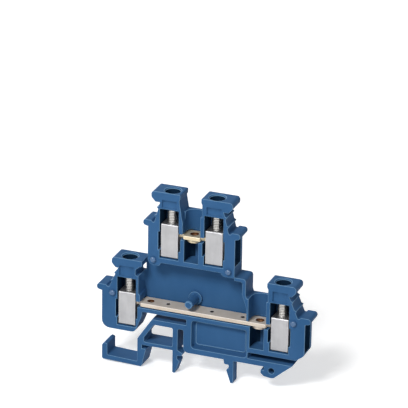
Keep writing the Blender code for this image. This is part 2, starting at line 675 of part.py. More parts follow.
def cut_wells(housing, tools):
    """Cut the two bridge shafts and the pockets under the bars, round at the back and open in front."""
    front = OPEN_FACE_Y - CUT_OVER
    for tower, well_x, rim_z, name in ((UPPER_RIGHT, UPPER_WELL_X, UPPER_RIM_Z, "upper"),
                                       (LOWER_RIGHT, LOWER_WELL_X, LOWER_RIM_Z, "lower")):
        bar_middle = tower.bar_bottom + BAR_THICKNESS / 2
        for width, low, high, kind in ((WELL_DIAMETER, bar_middle, rim_z + CUT_OVER, "well"),
                                       (SUMP_DIAMETER, tower.floor_z, bar_middle, "sump")):
            left = well_x - width / 2
            right = well_x + width / 2
            outline = rounded([(left, front), (right, front), (right, WELL_FACE_Y, width / 2),
                               (left, WELL_FACE_Y, width / 2)])
            shaft = prism("cut_%s_%s" % (kind, name), [outline], "XY", low, high, tools)
            shape_with(housing, as_cutter(shaft), "DIFFERENCE")
    edge = UPPER_WELL_X - WELL_DIAMETER / 2
    wall = UPPER_LEFT.x(-INNER_FACE)
    slope = [(edge + CUT_OVER, UPPER_RIM_Z - WELL_SLOPE_DROP), (edge, UPPER_RIM_Z - WELL_SLOPE_DROP),
             (wall, UPPER_RIM_Z - WELL_SLOPE_TOP_DROP), (wall, UPPER_RIM_Z + CUT_OVER),
             (edge + CUT_OVER, UPPER_RIM_Z + CUT_OVER)]
    ramp = prism("cut_well_slope", [slope], "XZ", front, OPEN_FACE_Y + WELL_SLOPE_DEPTH, tools)
    shape_with(housing, as_cutter(ramp), "DIFFERENCE")


def cut_tower(housing, tower, tools):
    """Cut one clamp's pocket with its side slots, its screw shaft, wire entry and sunk neck front."""
    front = OPEN_FACE_Y - CUT_OVER
    bar_low = tower.floor_z + BAR_SLOT_RISE
    bar_top = tower.bar_bottom + BAR_THICKNESS + REST_GAP
    wire_low = tower.floor_z + WIRE_SLOT_RISE
    wire_top = wire_low + WIRE_SLOT_HEIGHT
    outer = POCKET_HALF + WIRE_SLOT_REACH
    inner = -POCKET_HALF - BAR_SLOT_REACH
    corners = [
        (tower.x(-POCKET_HALF), tower.floor_z),
        (tower.x(POCKET_HALF), tower.floor_z),
        (tower.x(POCKET_HALF), wire_low),
        (tower.x(outer), wire_low),
        (tower.x(outer), wire_top),
        (tower.x(POCKET_HALF), wire_top),
        (tower.x(POCKET_HALF), tower.pocket_top),
        (tower.x(-POCKET_HALF), tower.pocket_top),
        (tower.x(-POCKET_HALF), bar_top),
        (tower.x(inner), bar_top),
        (tower.x(inner), bar_low),
        (tower.x(-POCKET_HALF), bar_low),
    ]
    pocket = prism("cut_pocket_" + tower.name, [rounded(corners)], "XZ", front, WELL_FACE_Y, tools)
    shape_with(housing, as_cutter(pocket), "DIFFERENCE")

    radius = SHAFT_DIAMETER / 2
    profile = [(0.0, tower.top_z + CUT_OVER), (radius + SHAFT_LEAD_IN + CUT_OVER, tower.top_z + CUT_OVER),
               (radius, tower.top_z - SHAFT_LEAD_IN), (radius, tower.pocket_top - CUT_OVER),
               (0.0, tower.pocket_top - CUT_OVER)]
    shaft = turned("cut_shaft_" + tower.name, profile, tools)
    shaft.location = (tower.axis_x, CLAMP_Y, 0.0)
    shape_with(housing, as_cutter(shaft), "DIFFERENCE")

    mouth_low = tower.floor_z + ENTRY_SILL
    mouth_high = tower.ledge_bottom - ENTRY_LINTEL
    funnel = [
        (tower.x(POCKET_HALF), wire_low),
        (tower.x(outer), wire_low),
        (tower.x(tower.wall), mouth_low),
        (tower.x(tower.wall + CUT_OVER), mouth_low),
        (tower.x(tower.wall + CUT_OVER), mouth_high),
        (tower.x(tower.wall), mouth_high),
        (tower.x(outer), wire_top),
        (tower.x(POCKET_HALF), wire_top),
    ]
    entry = prism("cut_entry_" + tower.name, [rounded(funnel)], "XZ", CLAMP_Y - ENTRY_WIDTH / 2,
                  CLAMP_Y + ENTRY_WIDTH / 2, tools)
    shape_with(housing, as_cutter(entry), "DIFFERENCE")
    cut_neck_front(housing, tower, tools)


def cut_neck_front(housing, tower, tools):
    """Sink the front of a neck beside the round bulge that the screw shaft makes in it."""
    sunk_y = OPEN_FACE_Y + NECK_SINK
    centre_y = OPEN_FACE_Y + BULGE_SINK + BULGE_RADIUS
    reach = sqrt(BULGE_RADIUS ** 2 - (centre_y - sunk_y) ** 2)
    sweep = asin(reach / BULGE_RADIUS)
    steps = 8
    arc = []
    for step in range(steps + 1):
        angle = sweep - 2 * sweep * step / steps
        arc.append((tower.axis_x + BULGE_RADIUS * sin(angle), centre_y - BULGE_RADIUS * cos(angle)))
    left = tower.axis_x - NECK_SINK_HALF_WIDTH
    right = tower.axis_x + NECK_SINK_HALF_WIDTH
    outline = [(left, OPEN_FACE_Y - CUT_OVER), (right, OPEN_FACE_Y - CUT_OVER), (right, sunk_y)]
    outline += arc
    outline.append((left, sunk_y))
    sink = prism("cut_neck_front_" + tower.name, [outline], "XY", tower.pocket_top + NECK_SINK_ABOVE_POCKET,
                 tower.top_z - NECK_SINK_BELOW_TOP, tools)
    shape_with(housing, as_cutter(sink), "DIFFERENCE")


def cut_panel(housing, tools):
    """Sink the blank panel, leave its raised frame, and cut the groove under the right clamp."""
    panel_floor = OPEN_FACE_Y + PANEL_DEPTH
    low = FOOT_BAR
    high = LOWER_LEFT.bar_bottom - REST_GAP - BAR_RIB
    outer = rectangle(PANEL_LEFT_X, PANEL_RIGHT_X, low, high, PANEL_CORNER)
    panel = prism("cut_panel", [outer], "XZ", OPEN_FACE_Y - CUT_OVER, panel_floor, tools)
    shape_with(housing, as_cutter(panel), "DIFFERENCE")
    inset = PANEL_FRAME_INSET
    inner = PANEL_FRAME_INSET + PANEL_FRAME_WIDTH
    ring = [rectangle(PANEL_LEFT_X + inset, PANEL_RIGHT_X - inset, low + inset, high - inset, PANEL_CORNER),
            rectangle(PANEL_LEFT_X + inner, PANEL_RIGHT_X - inner, low + inner, high - inner,
                      PANEL_CORNER - PANEL_FRAME_WIDTH)]
    frame = prism("add_panel_frame", ring, "XZ", panel_floor - PANEL_FRAME_HEIGHT,
                  panel_floor + PANEL_FRAME_HEIGHT, tools)
    shape_with(housing, as_cutter(frame), "UNION")
    outline = rounded([(GROOVE_LEFT_X, low, EDGE_RADIUS),
                       (FIXED_CLAW_TOP_X + 2 * CUT_OVER, low),
                       (FIXED_CLAW_TOP_X + 2 * CUT_OVER, LOWER_FLOOR_Z - FLOOR_WALL),
                       (GROOVE_LEFT_X, LOWER_FLOOR_Z - FLOOR_WALL, EDGE_RADIUS)])
    groove = prism("cut_groove", [outline], "XZ", OPEN_FACE_Y - CUT_OVER, WELL_FACE_Y, tools)
    shape_with(housing, as_cutter(groove), "DIFFERENCE")


def cut_foot(housing, tools):
    """Cut the foot's window and the round hole in the fixed claw."""
    sill = FOOT_LOWER_BAR
    head = FOOT_TOP_Z - FOOT_TOP_BAR
    right = FOOT_POST_X - FOOT_POST_WIDTH
    arm_left = CLAW_SLOT_END_X - CLAW_ARM
    slope = (FOOT_TOP_LEFT_X - arm_left) / (FOOT_TOP_Z - FOOT_SLOPE_FOOT_Z)
    arm_right = arm_left + CLAW_ARM * hypot(slope, 1.0)
    left_at_bend = arm_right + slope * FOOT_BEND_RISE
    left_at_head = arm_right + slope * (head - FOOT_SLOPE_FOOT_Z)
    window = [(left_at_bend, sill, CORNER_RADIUS), (right, sill, CORNER_RADIUS),
              (right, head, CORNER_RADIUS), (left_at_head, head, CORNER_RADIUS),
              (left_at_bend, FOOT_SLOPE_FOOT_Z + FOOT_BEND_RISE, EDGE_RADIUS)]
    opening = prism("cut_foot_window", [rounded(window)], "XZ", OPEN_FACE_Y - CUT_OVER,
                    BACK_FACE_Y + CUT_OVER, tools)
    shape_with(housing, as_cutter(opening), "DIFFERENCE")
    hole = rod("cut_claw_hole", FIXED_CLAW_HOLE_DIAMETER, OPEN_FACE_Y - CUT_OVER, BACK_FACE_Y + CUT_OVER,
               tools)
    hole.rotation_euler = (radians(90), 0.0, 0.0)
    hole.location = (FIXED_CLAW_HOLE_X, 0.0, FIXED_CLAW_HOLE_Z)
    shape_with(housing, as_cutter(hole), "DIFFERENCE")


def prong_outline(straight_x, side, root_width, shoulder_z):
    """Corners of a barbed prong: its straight edge at straight_x, its collar and barb towards side."""
    def at(across, z, radius=0.0):
        return (straight_x + side * across, z, radius)

    return [
        at(0.0, FOOT_LOWER_BAR / 2),
        at(root_width, FOOT_LOWER_BAR / 2),
        at(PRONG_COLLAR_WIDTH, shoulder_z),
        at(PRONG_COLLAR_WIDTH - PRONG_COLLAR_TAPER, PRONG_COLLAR_Z, CORNER_RADIUS),
        at(PRONG_NECK_WIDTH, PRONG_COLLAR_Z, EDGE_RADIUS),
        at(PRONG_NECK_WIDTH, PRONG_BARB_TOP_Z),
        at(PRONG_BARB_WIDTH, PRONG_BARB_Z, EDGE_RADIUS),
        at(PRONG_TIP_WIDTH, PRONG_BOTTOM_Z, EDGE_RADIUS),
        at(0.0, PRONG_BOTTOM_Z, EDGE_RADIUS),
    ]


def add_prongs(housing, tools):
    """Add the two barbed prongs that reach down into the rail."""
    back = OPEN_FACE_Y + PRONG_DEPTH
    left = prong_outline(FOOT_POST_X - FOOT_POST_WIDTH, 1, LEFT_PRONG_ROOT_WIDTH, LEFT_PRONG_SHOULDER_Z)
    right = prong_outline(RIGHT_PRONG_X, -1, PRONG_COLLAR_WIDTH, 0.0)
    for name, outline in (("left", left), ("right", right)):
        prong = prism("add_prong_" + name, [rounded(outline)], "XZ", OPEN_FACE_Y, back, tools)
        shape_with(housing, as_cutter(prong), "UNION")


def add_pegs(housing, tools):
    """Add the keying pegs on the open side and cut the sockets for them in the back."""
    places = []
    for tower in (UPPER_LEFT, UPPER_RIGHT):
        places.append((tower.x(UPPER_PEG_OUT), UPPER_FLOOR_Z + UPPER_PEG_RISE))
    for tower in (LOWER_LEFT, LOWER_RIGHT):
        places.append((tower.x(LOWER_PEG_OUT), LOWER_FLOOR_Z + LOWER_PEG_RISE))
    for index, (x, z) in enumerate(places):
        peg = rod("add_peg_%d" % index, PEG_DIAMETER, -PEG_LENGTH, PEG_LENGTH, tools, PEG_CHAMFER)
        peg.rotation_euler = (radians(90), 0.0, 0.0)
        peg.location = (x, OPEN_FACE_Y, z)
        shape_with(housing, as_cutter(peg), "UNION")
    tip = PEG_LENGTH - OPEN_FACE_Y
    root_top = LONG_PEG_ROOT_HEIGHT - WELL_FACE_Y
    root_bottom = -WELL_FACE_Y - BACK_WALL / 2
    radius = LONG_PEG_DIAMETER / 2
    root = LONG_PEG_ROOT_DIAMETER / 2
    profile = [(0.0, tip), (radius - LONG_PEG_CHAMFER, tip), (radius, tip - LONG_PEG_CHAMFER),
               (radius, root_top), (root, root_top), (root, root_bottom), (0.0, root_bottom)]
    peg = turned("add_long_peg", profile, tools)
    peg.rotation_euler = (radians(90), 0.0, 0.0)
    peg.location = (LONG_PEG_X, 0.0, LONG_PEG_Z)
    shape_with(housing, as_cutter(peg), "UNION")
    places.append((LONG_PEG_X, LONG_PEG_Z))
    for index, (x, z) in enumerate(places):
        diameter = LONG_PEG_DIAMETER if index == len(places) - 1 else PEG_DIAMETER
        socket = rod("cut_socket_%d" % index, diameter + 2 * PEG_PLAY, -CUT_OVER, PEG_SOCKET_DEPTH, tools)
        socket.rotation_euler = (radians(90), 0.0, 0.0)
        socket.location = (x, BACK_FACE_Y, z)
        shape_with(housing, as_cutter(socket), "DIFFERENCE")


def make_housing(parts, tools, plastic):
    """Make the moulded housing."""
    housing = prism("housing", [rounded(body_outline())], "XZ", OPEN_FACE_Y, BACK_FACE_Y, parts)
    cut_bay(housing, tools)
    cut_wells(housing, tools)
    for tower in TOWERS:
        cut_tower(housing, tower, tools)
    cut_panel(housing, tools)
    cut_foot(housing, tools)
    add_prongs(housing, tools)
    add_pegs(housing, tools)
    housing.data.materials.append(plastic)
    return housing


# Clamp parts

def make_cage(tower, parts, tools, metal):
    """Make one clamping cage, resting on its pocket's floor, with its origin on the screw's axis."""
    low = REST_GAP
    high = low + CAGE_HEIGHT
    front = CAGE_FRONT_Y - CLAMP_Y
    back = CAGE_BACK_Y - CLAMP_Y
    ring = rectangle(front, back, low, high, CAGE_FOLD_RADIUS)
    window = rectangle(front + CAGE_SHEET, back - CAGE_SHEET, low + CAGE_FLOOR, high - CAGE_ROOF,
                       CAGE_WINDOW_RADIUS)
    cage = prism("cage_" + tower.name, [ring, window], "YZ", -CAGE_WIDTH / 2, CAGE_WIDTH / 2, parts)
    bore = rod("cut_thread_" + tower.name, SHANK_DIAMETER + 2 * SHANK_GAP, high - CAGE_ROOF - CUT_OVER / 2,
               high + CUT_OVER, tools)
    place = Vector((tower.axis_x, CLAMP_Y, tower.floor_z))
    cage.data.transform(cage.matrix_world)
    cage.matrix_world = Matrix.Translation(place)
    bore.location = place
    shape_with(cage, as_cutter(bore), "DIFFERENCE")
    cage.data.materials.append(metal)
    return cage


def make_screw(tower, parts, tools, metal):
    """Make one slotted clamp screw, its tip just over the bar and its head in the tower's shaft."""
    tip = tower.bar_bottom + BAR_THICKNESS + REST_GAP - tower.floor_z
    neck = POCKET_HEIGHT + REST_GAP
    top = neck + HEAD_HEIGHT
    shank = SHANK_DIAMETER / 2
    head = HEAD_DIAMETER / 2
    profile = [
        (0.0, top),
        (head - HEAD_CHAMFER, top),
        (head, top - HEAD_CHAMFER),
        (head, neck),
        (shank, neck),
        (shank, tip + TIP_CHAMFER),
        (shank - TIP_CHAMFER, tip),
        (0.0, tip),
    ]
    screw = turned("screw_" + tower.name, profile, parts)
    place = Vector((tower.axis_x, CLAMP_Y, tower.floor_z))
    screw.location = place
    outline = rectangle(-head - CUT_OVER, head + CUT_OVER, -SLOT_WIDTH / 2, SLOT_WIDTH / 2)
    slot = prism("cut_slot_" + tower.name, [outline], "XY", top - SLOT_DEPTH, top + CUT_OVER, tools)
    slot.matrix_world = Matrix.Translation(place) @ slot.matrix_world
    shape_with(screw, as_cutter(slot), "DIFFERENCE")
    screw.data.materials.append(metal)
    return screw


# Current bars

def make_bar(name, left, right, collar_x, holes, parts, tools, metal):
    """Make a current bar: wide between two towers, narrow in their cages, with holes and a collar."""
    bottom = left.bar_bottom
    top = bottom + BAR_THICKNESS
    plate = rectangle(left.x(-DEEP_WALL), right.x(-DEEP_WALL), OPEN_FACE_Y + BAR_FRONT_INSET,
                      WELL_FACE_Y - REST_GAP, BAR_CORNER)
    outlines = [plate] + [circle(x, CLAMP_Y, BAR_HOLE_DIAMETER) for x in holes]
    bar = prism(name, outlines, "XY", bottom, top, parts)
    half = (CAGE_BACK_Y - CAGE_FRONT_Y) / 2 - CAGE_SHEET - RUN_GAP
    for tower in (left, right):
        ends = sorted((tower.x(BAR_END_PAST_AXIS), tower.x(-DEEP_WALL - 2 * BAR_CORNER)))
        outline = rectangle(ends[0], ends[1], CLAMP_Y - half, CLAMP_Y + half, BAR_CORNER)
        tongue = prism("add_tongue_" + tower.name, [outline], "XY", bottom, top, tools)
        shape_with(bar, as_cutter(tongue), "UNION")
    collar = rod("add_collar_" + name, COLLAR_DIAMETER, bottom - COLLAR_DROP, bottom + BAR_THICKNESS / 2,
                 tools)
    bore = rod("cut_collar_" + name, COLLAR_BORE, bottom - COLLAR_DROP - CUT_OVER, top + CUT_OVER, tools)
    for tool, operation in ((collar, "UNION"), (bore, "DIFFERENCE")):
        tool.location = (collar_x, CLAMP_Y, 0.0)
        shape_with(bar, as_cutter(tool), operation)
    bar.data.materials.append(metal)
    return bar


def main():
    """Build the whole block."""
    clear_scene()
    parts = new_collection("double_level_terminal_block")
    tools = new_collection("construction")
    plastic = new_material("blue_polyamide", (0.045, 0.155, 0.33), 0.42, 0.0)
    nickel = new_material("nickel_plate", (0.62, 0.61, 0.62), 0.35, 1.0)
    bright = new_material("bright_zinc", (0.72, 0.71, 0.68), 0.25, 1.0)
    tinned = new_material("tinned_copper", (0.70, 0.62, 0.55), 0.35, 1.0)

    make_housing(parts, tools, plastic)
    for tower in TOWERS:
        make_cage(tower, parts, tools, nickel)
        make_screw(tower, parts, tools, bright)
    make_bar("bar_upper", UPPER_LEFT, UPPER_RIGHT, UPPER_WELL_X, (), parts, tools, tinned)
    make_bar("bar_lower", LOWER_LEFT, LOWER_RIGHT, LOWER_WELL_X, BAR_HOLES_X, parts, tools, tinned)


main()
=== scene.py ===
"""Looks of a double level terminal block: moulding, clamps, bars, finishes, light and camera."""

import logging
from abc import ABC, abstractmethod
from dataclasses import dataclass, field, replace
from enum import Enum
from functools import cached_property
from math import cos, pi, radians, sin
from typing import Callable

import bmesh
import bpy
from mathutils import Matrix, Vector


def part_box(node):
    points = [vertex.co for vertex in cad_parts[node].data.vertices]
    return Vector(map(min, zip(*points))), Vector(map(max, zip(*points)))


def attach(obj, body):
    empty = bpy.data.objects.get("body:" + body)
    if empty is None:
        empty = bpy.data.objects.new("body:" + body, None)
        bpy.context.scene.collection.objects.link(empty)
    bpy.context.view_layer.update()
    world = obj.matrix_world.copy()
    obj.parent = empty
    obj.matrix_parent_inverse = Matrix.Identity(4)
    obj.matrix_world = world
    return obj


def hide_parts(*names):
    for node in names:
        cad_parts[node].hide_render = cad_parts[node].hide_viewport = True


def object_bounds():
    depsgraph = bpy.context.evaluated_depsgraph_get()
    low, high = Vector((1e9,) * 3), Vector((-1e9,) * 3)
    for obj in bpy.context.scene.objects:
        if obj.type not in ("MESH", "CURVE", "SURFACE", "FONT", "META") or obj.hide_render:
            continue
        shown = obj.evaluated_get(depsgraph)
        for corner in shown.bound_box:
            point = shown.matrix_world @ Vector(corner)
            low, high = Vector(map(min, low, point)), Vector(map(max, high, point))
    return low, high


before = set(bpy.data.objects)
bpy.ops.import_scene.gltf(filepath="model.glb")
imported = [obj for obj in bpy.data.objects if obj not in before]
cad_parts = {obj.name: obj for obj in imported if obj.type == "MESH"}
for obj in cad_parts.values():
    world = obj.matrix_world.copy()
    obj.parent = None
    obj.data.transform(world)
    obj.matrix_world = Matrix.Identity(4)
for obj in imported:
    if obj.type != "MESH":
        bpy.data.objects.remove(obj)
CAD_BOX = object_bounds()

LOG = logging.getLogger("terminal_block")
MM = 0.001

Triple = tuple[float, float, float]
Pair = tuple[float, float]

# Modelling: how close counts as touching, how far a cutter stands out, and how round things are
SLACK = 0.01 * MM
OVERCUT = 1.0 * MM
SOLID_MERGE = 0.002 * MM
RIDGE_MERGE = 0.0005 * MM
ROD_POINTS = 48
RIDGE_STEPS = 28
ROUNDING_FACES = 2
FLAT_ANGLE = radians(0.5)
SMOOTH_ANGLE = radians(50.0)
CORNER_ANGLE = radians(40.0)
WEDGE_ANGLE = radians(125.0)
FOLD_ANGLE = radians(150.0)
FOLD_REACH = 1.6
FOLD_PASSES = 8

# Part of a face's unit normal along an axis, past which the face leans that way or stands square to it
LEANING = 0.5
SQUARE = 0.9

# Place of a finish in a piece's list of materials: body and painted rim highlight first, then the piece's
# own, among them painted shade for recesses, thread roots and punched holes
BODY_COAT = 0
PAINTED_HIGHLIGHT_COAT = 1
PAINTED_SHADE_COAT = 2
PEG_COAT = 3
ROOT_SHADE_COAT = 2
THREAD_COAT = 2
HOLE_SHADE_COAT = 3

# A whole share, and the parts of a noise pattern's range that tone and roughness are spread over
WHOLE = (0.0, 1.0)
TONE_SPAN = (0.35, 0.65)
SHEEN_SPAN = (0.3, 0.7)


class Slot(Enum):
    """The record's material slots."""

    PLASTIC = "blue_plastic"
    BAR = "bar_metal"
    CAGE = "cage_metal"
    SCREW = "screw_metal"


class Side(Enum):
    """The end of the block that a clamp's wire comes from, with the sign of X towards it."""

    LEFT = -1
    RIGHT = 1


# Modelling helpers

def work_on(obj: bpy.types.Object) -> None:
    """Make one object the only selected one, and the active one.

    Args:
        obj: The object to work on.
    """
    bpy.ops.object.select_all(action="DESELECT")
    obj.select_set(True)
    bpy.context.view_layer.objects.active = obj


def select_edges(obj: bpy.types.Object, wanted: Callable[[bmesh.types.BMEdge], bool]) -> None:
    """Enter edit mode with only the wanted edges selected.

    Args:
        obj: The mesh object to edit.
        wanted: Test on an edge.
    """
    work_on(obj)
    bpy.ops.object.mode_set(mode="EDIT")
    bpy.ops.mesh.select_mode(type="EDGE")
    bpy.ops.mesh.select_all(action="DESELECT")
    shell = bmesh.from_edit_mesh(obj.data)
    for edge in shell.edges:
        edge.select_set(wanted(edge))
    shell.select_flush_mode()
    bmesh.update_edit_mesh(obj.data)


def leave_edit() -> None:
    """Go back to object mode."""
    bpy.ops.object.mode_set(mode="OBJECT")


def spread(edge: bmesh.types.BMEdge) -> Vector:
    """Measure how far an edge's two ends lie apart along each axis."""
    return Vector([abs(a - b) for a, b in zip(edge.verts[0].co, edge.verts[1].co)])


def settle(obj: bpy.types.Object) -> None:
    """Apply an object's place, turn and size to its mesh."""
    work_on(obj)
    bpy.ops.object.transform_apply(location=True, rotation=True, scale=True)


def discard(obj: bpy.types.Object) -> None:
    """Remove an object together with its mesh.

    Args:
        obj: The object that has done its work.
    """
    mesh = obj.data
    bpy.data.objects.remove(obj, do_unlink=True)
    bpy.data.meshes.remove(mesh)


def add_box(name: str, low: Triple, high: Triple) -> bpy.types.Object:
    """Add a box between two corners.

    Args:
        name: Name of the new object.
        low: Lowest corner, in metres.
        high: Highest corner, in metres.

    Returns:
        The box, settled at the origin.
    """
    bpy.ops.object.select_all(action="DESELECT")
    middle = [(a + b) / 2 for a, b in zip(low, high)]
    bpy.ops.mesh.primitive_cube_add(size=1.0, location=middle)
    box = bpy.context.active_object
    box.name = name
    box.scale = [b - a for a, b in zip(low, high)]
    settle(box)
    return box


def add_rod(name: str, radius: float, foot: Vector, height: float) -> bpy.types.Object:
    """Add a round rod that stands along Z.

    Args:
        name: Name of the new object.
        radius: Radius of the rod.
        foot: Middle of its lower end.
        height: Length of the rod.

    Returns:
        The rod, settled at the origin.
    """
    bpy.ops.object.select_all(action="DESELECT")
    middle = (foot.x, foot.y, foot.z + height / 2)
    bpy.ops.mesh.primitive_cylinder_add(vertices=ROD_POINTS, radius=radius, depth=height, location=middle)
    rod = bpy.context.active_object
    rod.name = name
    settle(rod)
    return rod


def cut(target: bpy.types.Object, tool: bpy.types.Object) -> None:
    """Cut a tool's shape out of a target, and remove the tool.

    Args:
        target: The shape that is kept.
        tool: The shape that is cut out of it.
    """
    work_on(target)
    modifier = target.modifiers.new("cut", "BOOLEAN")
    modifier.operation = "DIFFERENCE"
    modifier.solver = "EXACT"
    modifier.object = tool
    bpy.ops.object.modifier_apply(modifier=modifier.name)
    discard(tool)


def copy_to(model: bpy.types.Object, name: str, shift: Vector) -> bpy.types.Object:
    """Copy a model with a mesh of its own, and move the copy.

    Args:
        model: The model, settled at the origin.
        name: Name of the copy.
        shift: How far the copy is moved.

    Returns:
        The copy, settled at the origin.
    """
    twin = bpy.data.objects.new(name, model.data.copy())
    bpy.context.scene.collection.objects.link(twin)
    twin.location = shift
    settle(twin)
    return twin


def merged_copy(node: str, name: str) -> bpy.types.Object:
    """Copy a solid of the frame, and merge its loose triangles into whole flat faces.

    Args:
        node: Name of the solid.
        name: Name of the copy.

    Returns:
        The copy, at the origin.
    """
    twin = copy_to(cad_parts[node], name, Vector((0.0, 0.0, 0.0)))
    twin.data.materials.clear()
    bpy.ops.object.mode_set(mode="EDIT")
    bpy.ops.mesh.select_all(action="SELECT")
    bpy.ops.mesh.remove_doubles(threshold=SOLID_MERGE)
    bpy.ops.mesh.dissolve_limited(angle_limit=FLAT_ANGLE)
    leave_edit()
    return twin


def join(pieces: list[bpy.types.Object], name: str) -> bpy.types.Object:
    """Join several meshes into one object.

    Args:
        pieces: The meshes; the first one keeps its place.
        name: Name of the joined object.

    Returns:
        The joined object.
    """
    bpy.ops.object.select_all(action="DESELECT")
    for piece in pieces:
        piece.select_set(True)
    bpy.context.view_layer.objects.active = pieces[0]
    bpy.ops.object.join()
    joined = bpy.context.active_object
    joined.name = name
    return joined


# Roundings

def soften_edges(obj: bpy.types.Object, width: float, finishes: tuple[bpy.types.Material, ...]) -> None:
    """Round an object's sharp outer edges, and paint a highlight on the roundings with a paler finish.

    Args:
        obj: The object to finish.
        width: Width of the rounding.
        finishes: The object's materials, with the roundings' painted highlight in its place.
    """
    for finish in finishes:
        obj.data.materials.append(finish)
    select_edges(obj, lambda edge: edge.is_convex and CORNER_ANGLE < edge.calc_face_angle(0.0) < WEDGE_ANGLE)
    bpy.ops.mesh.bevel(offset=width, segments=ROUNDING_FACES, affect="EDGES", clamp_overlap=False,
                       miter_outer="ARC", material=PAINTED_HIGHLIGHT_COAT)
    leave_edit()
    mend_folds(obj, width * FOLD_REACH)


def gap(pair: tuple[bmesh.types.BMVert, bmesh.types.BMVert]) -> float:
    """Measure how far two points are apart."""
    return (pair[0].co - pair[1].co).length


def turned_over(shell: bmesh.types.BMesh) -> list[tuple[bmesh.types.BMVert, bmesh.types.BMVert]]:
    """Find where roundings that meet folded a face over itself.

    Args:
        shell: The mesh.

    Returns:
        The two points nearest to each other in each fold.
    """
    pairs = []
    for corners in shell.calc_loop_triangles():
        a, b, c = (corner.vert for corner in corners)
        if (b.co - a.co).cross(c.co - a.co).dot(corners[0].face.normal) < 0:
            pairs.append(min(((a, b), (b, c), (c, a)), key=gap))
    for edge in shell.edges:
        if edge.calc_face_angle(0.0) > FOLD_ANGLE:
            smaller = min(edge.link_faces, key=lambda face: face.calc_area())
            shortest = min(smaller.edges, key=lambda side: side.calc_length())
            pairs.append(tuple(shortest.verts))
    return pairs


def mend_folds(obj: bpy.types.Object, reach: float) -> None:
    """Weld the two points of each fold, and look again until none is left.

    Args:
        obj: The object with its roundings.
        reach: Points that are farther apart than this stay.
    """
    shell = bmesh.new()
    shell.from_mesh(obj.data)
    for _ in range(FOLD_PASSES):
        welds = {}
        for pair in turned_over(shell):
            taken = any(vertex in welds or vertex in welds.values() for vertex in pair)
            if gap(pair) < reach and not taken:
                welds[pair[0]] = pair[1]
        if not welds:
            break
        bmesh.ops.weld_verts(shell, targetmap=welds)
        shell.normal_update()
    shell.to_mesh(obj.data)
    shell.free()


# Threads

def close_ridge(ridge: bpy.types.Object) -> None:
    """Merge the turns of a wound ridge, cap its two ends and turn its faces outwards.

    Args:
        ridge: The wound ridge, which must be selected and active; not used.
    """
    bpy.ops.object.mode_set(mode="EDIT")
    bpy.ops.mesh.select_all(action="SELECT")
    bpy.ops.mesh.remove_doubles(threshold=RIDGE_MERGE)
    bpy.ops.mesh.select_all(action="SELECT")
    bpy.ops.mesh.fill_holes(sides=0)
    bpy.ops.mesh.select_all(action="SELECT")
    bpy.ops.mesh.normals_make_consistent(inside=False)
    leave_edit()


@dataclass(frozen=True)
class ThreadRidge:
    """Ridge of a thread: its two radii, its pitch, and half its height at the foot and at the crest."""

    root: float
    crest: float
    pitch: float
    half_root: float
    half_crest: float

    def wind(self, foot: Vector, turns: int) -> bpy.types.Object:
        """Wind the ridge about a vertical axis.

        Args:
            foot: Point on the axis at the ridge's lower end.
            turns: Number of turns.

        Returns:
            The closed ridge, settled at the origin.
        """
        corners = ((self.root, -self.half_root), (self.crest, -self.half_crest),
                   (self.crest, self.half_crest), (self.root, self.half_root))
        bpy.ops.object.select_all(action="DESELECT")
        bpy.ops.mesh.primitive_circle_add(vertices=len(corners), location=(0.0, 0.0, 0.0))
        ridge = bpy.context.active_object
        ridge.name = "ridge"
        for vertex, (radius, height) in zip(ridge.data.vertices, corners):
            vertex.co = (radius, 0.0, height)
        screw = ridge.modifiers.new("wind", "SCREW")
        screw.angle = 2 * pi
        screw.screw_offset = self.pitch
        screw.iterations = turns
        screw.steps = RIDGE_STEPS
        screw.render_steps = RIDGE_STEPS
        screw.use_merge_vertices = False
        work_on(ridge)
        bpy.ops.object.modifier_apply(modifier=screw.name)
        close_ridge(ridge)
        ridge.location = foot
        settle(ridge)
        return ridge


# Finishes

@dataclass(frozen=True)
class Pattern:
    """A noise pattern: waves per metre, number of finer octaves, and its scale along each axis."""

    scale: float
    detail: float
    stretch: Triple = (1.0, 1.0, 1.0)


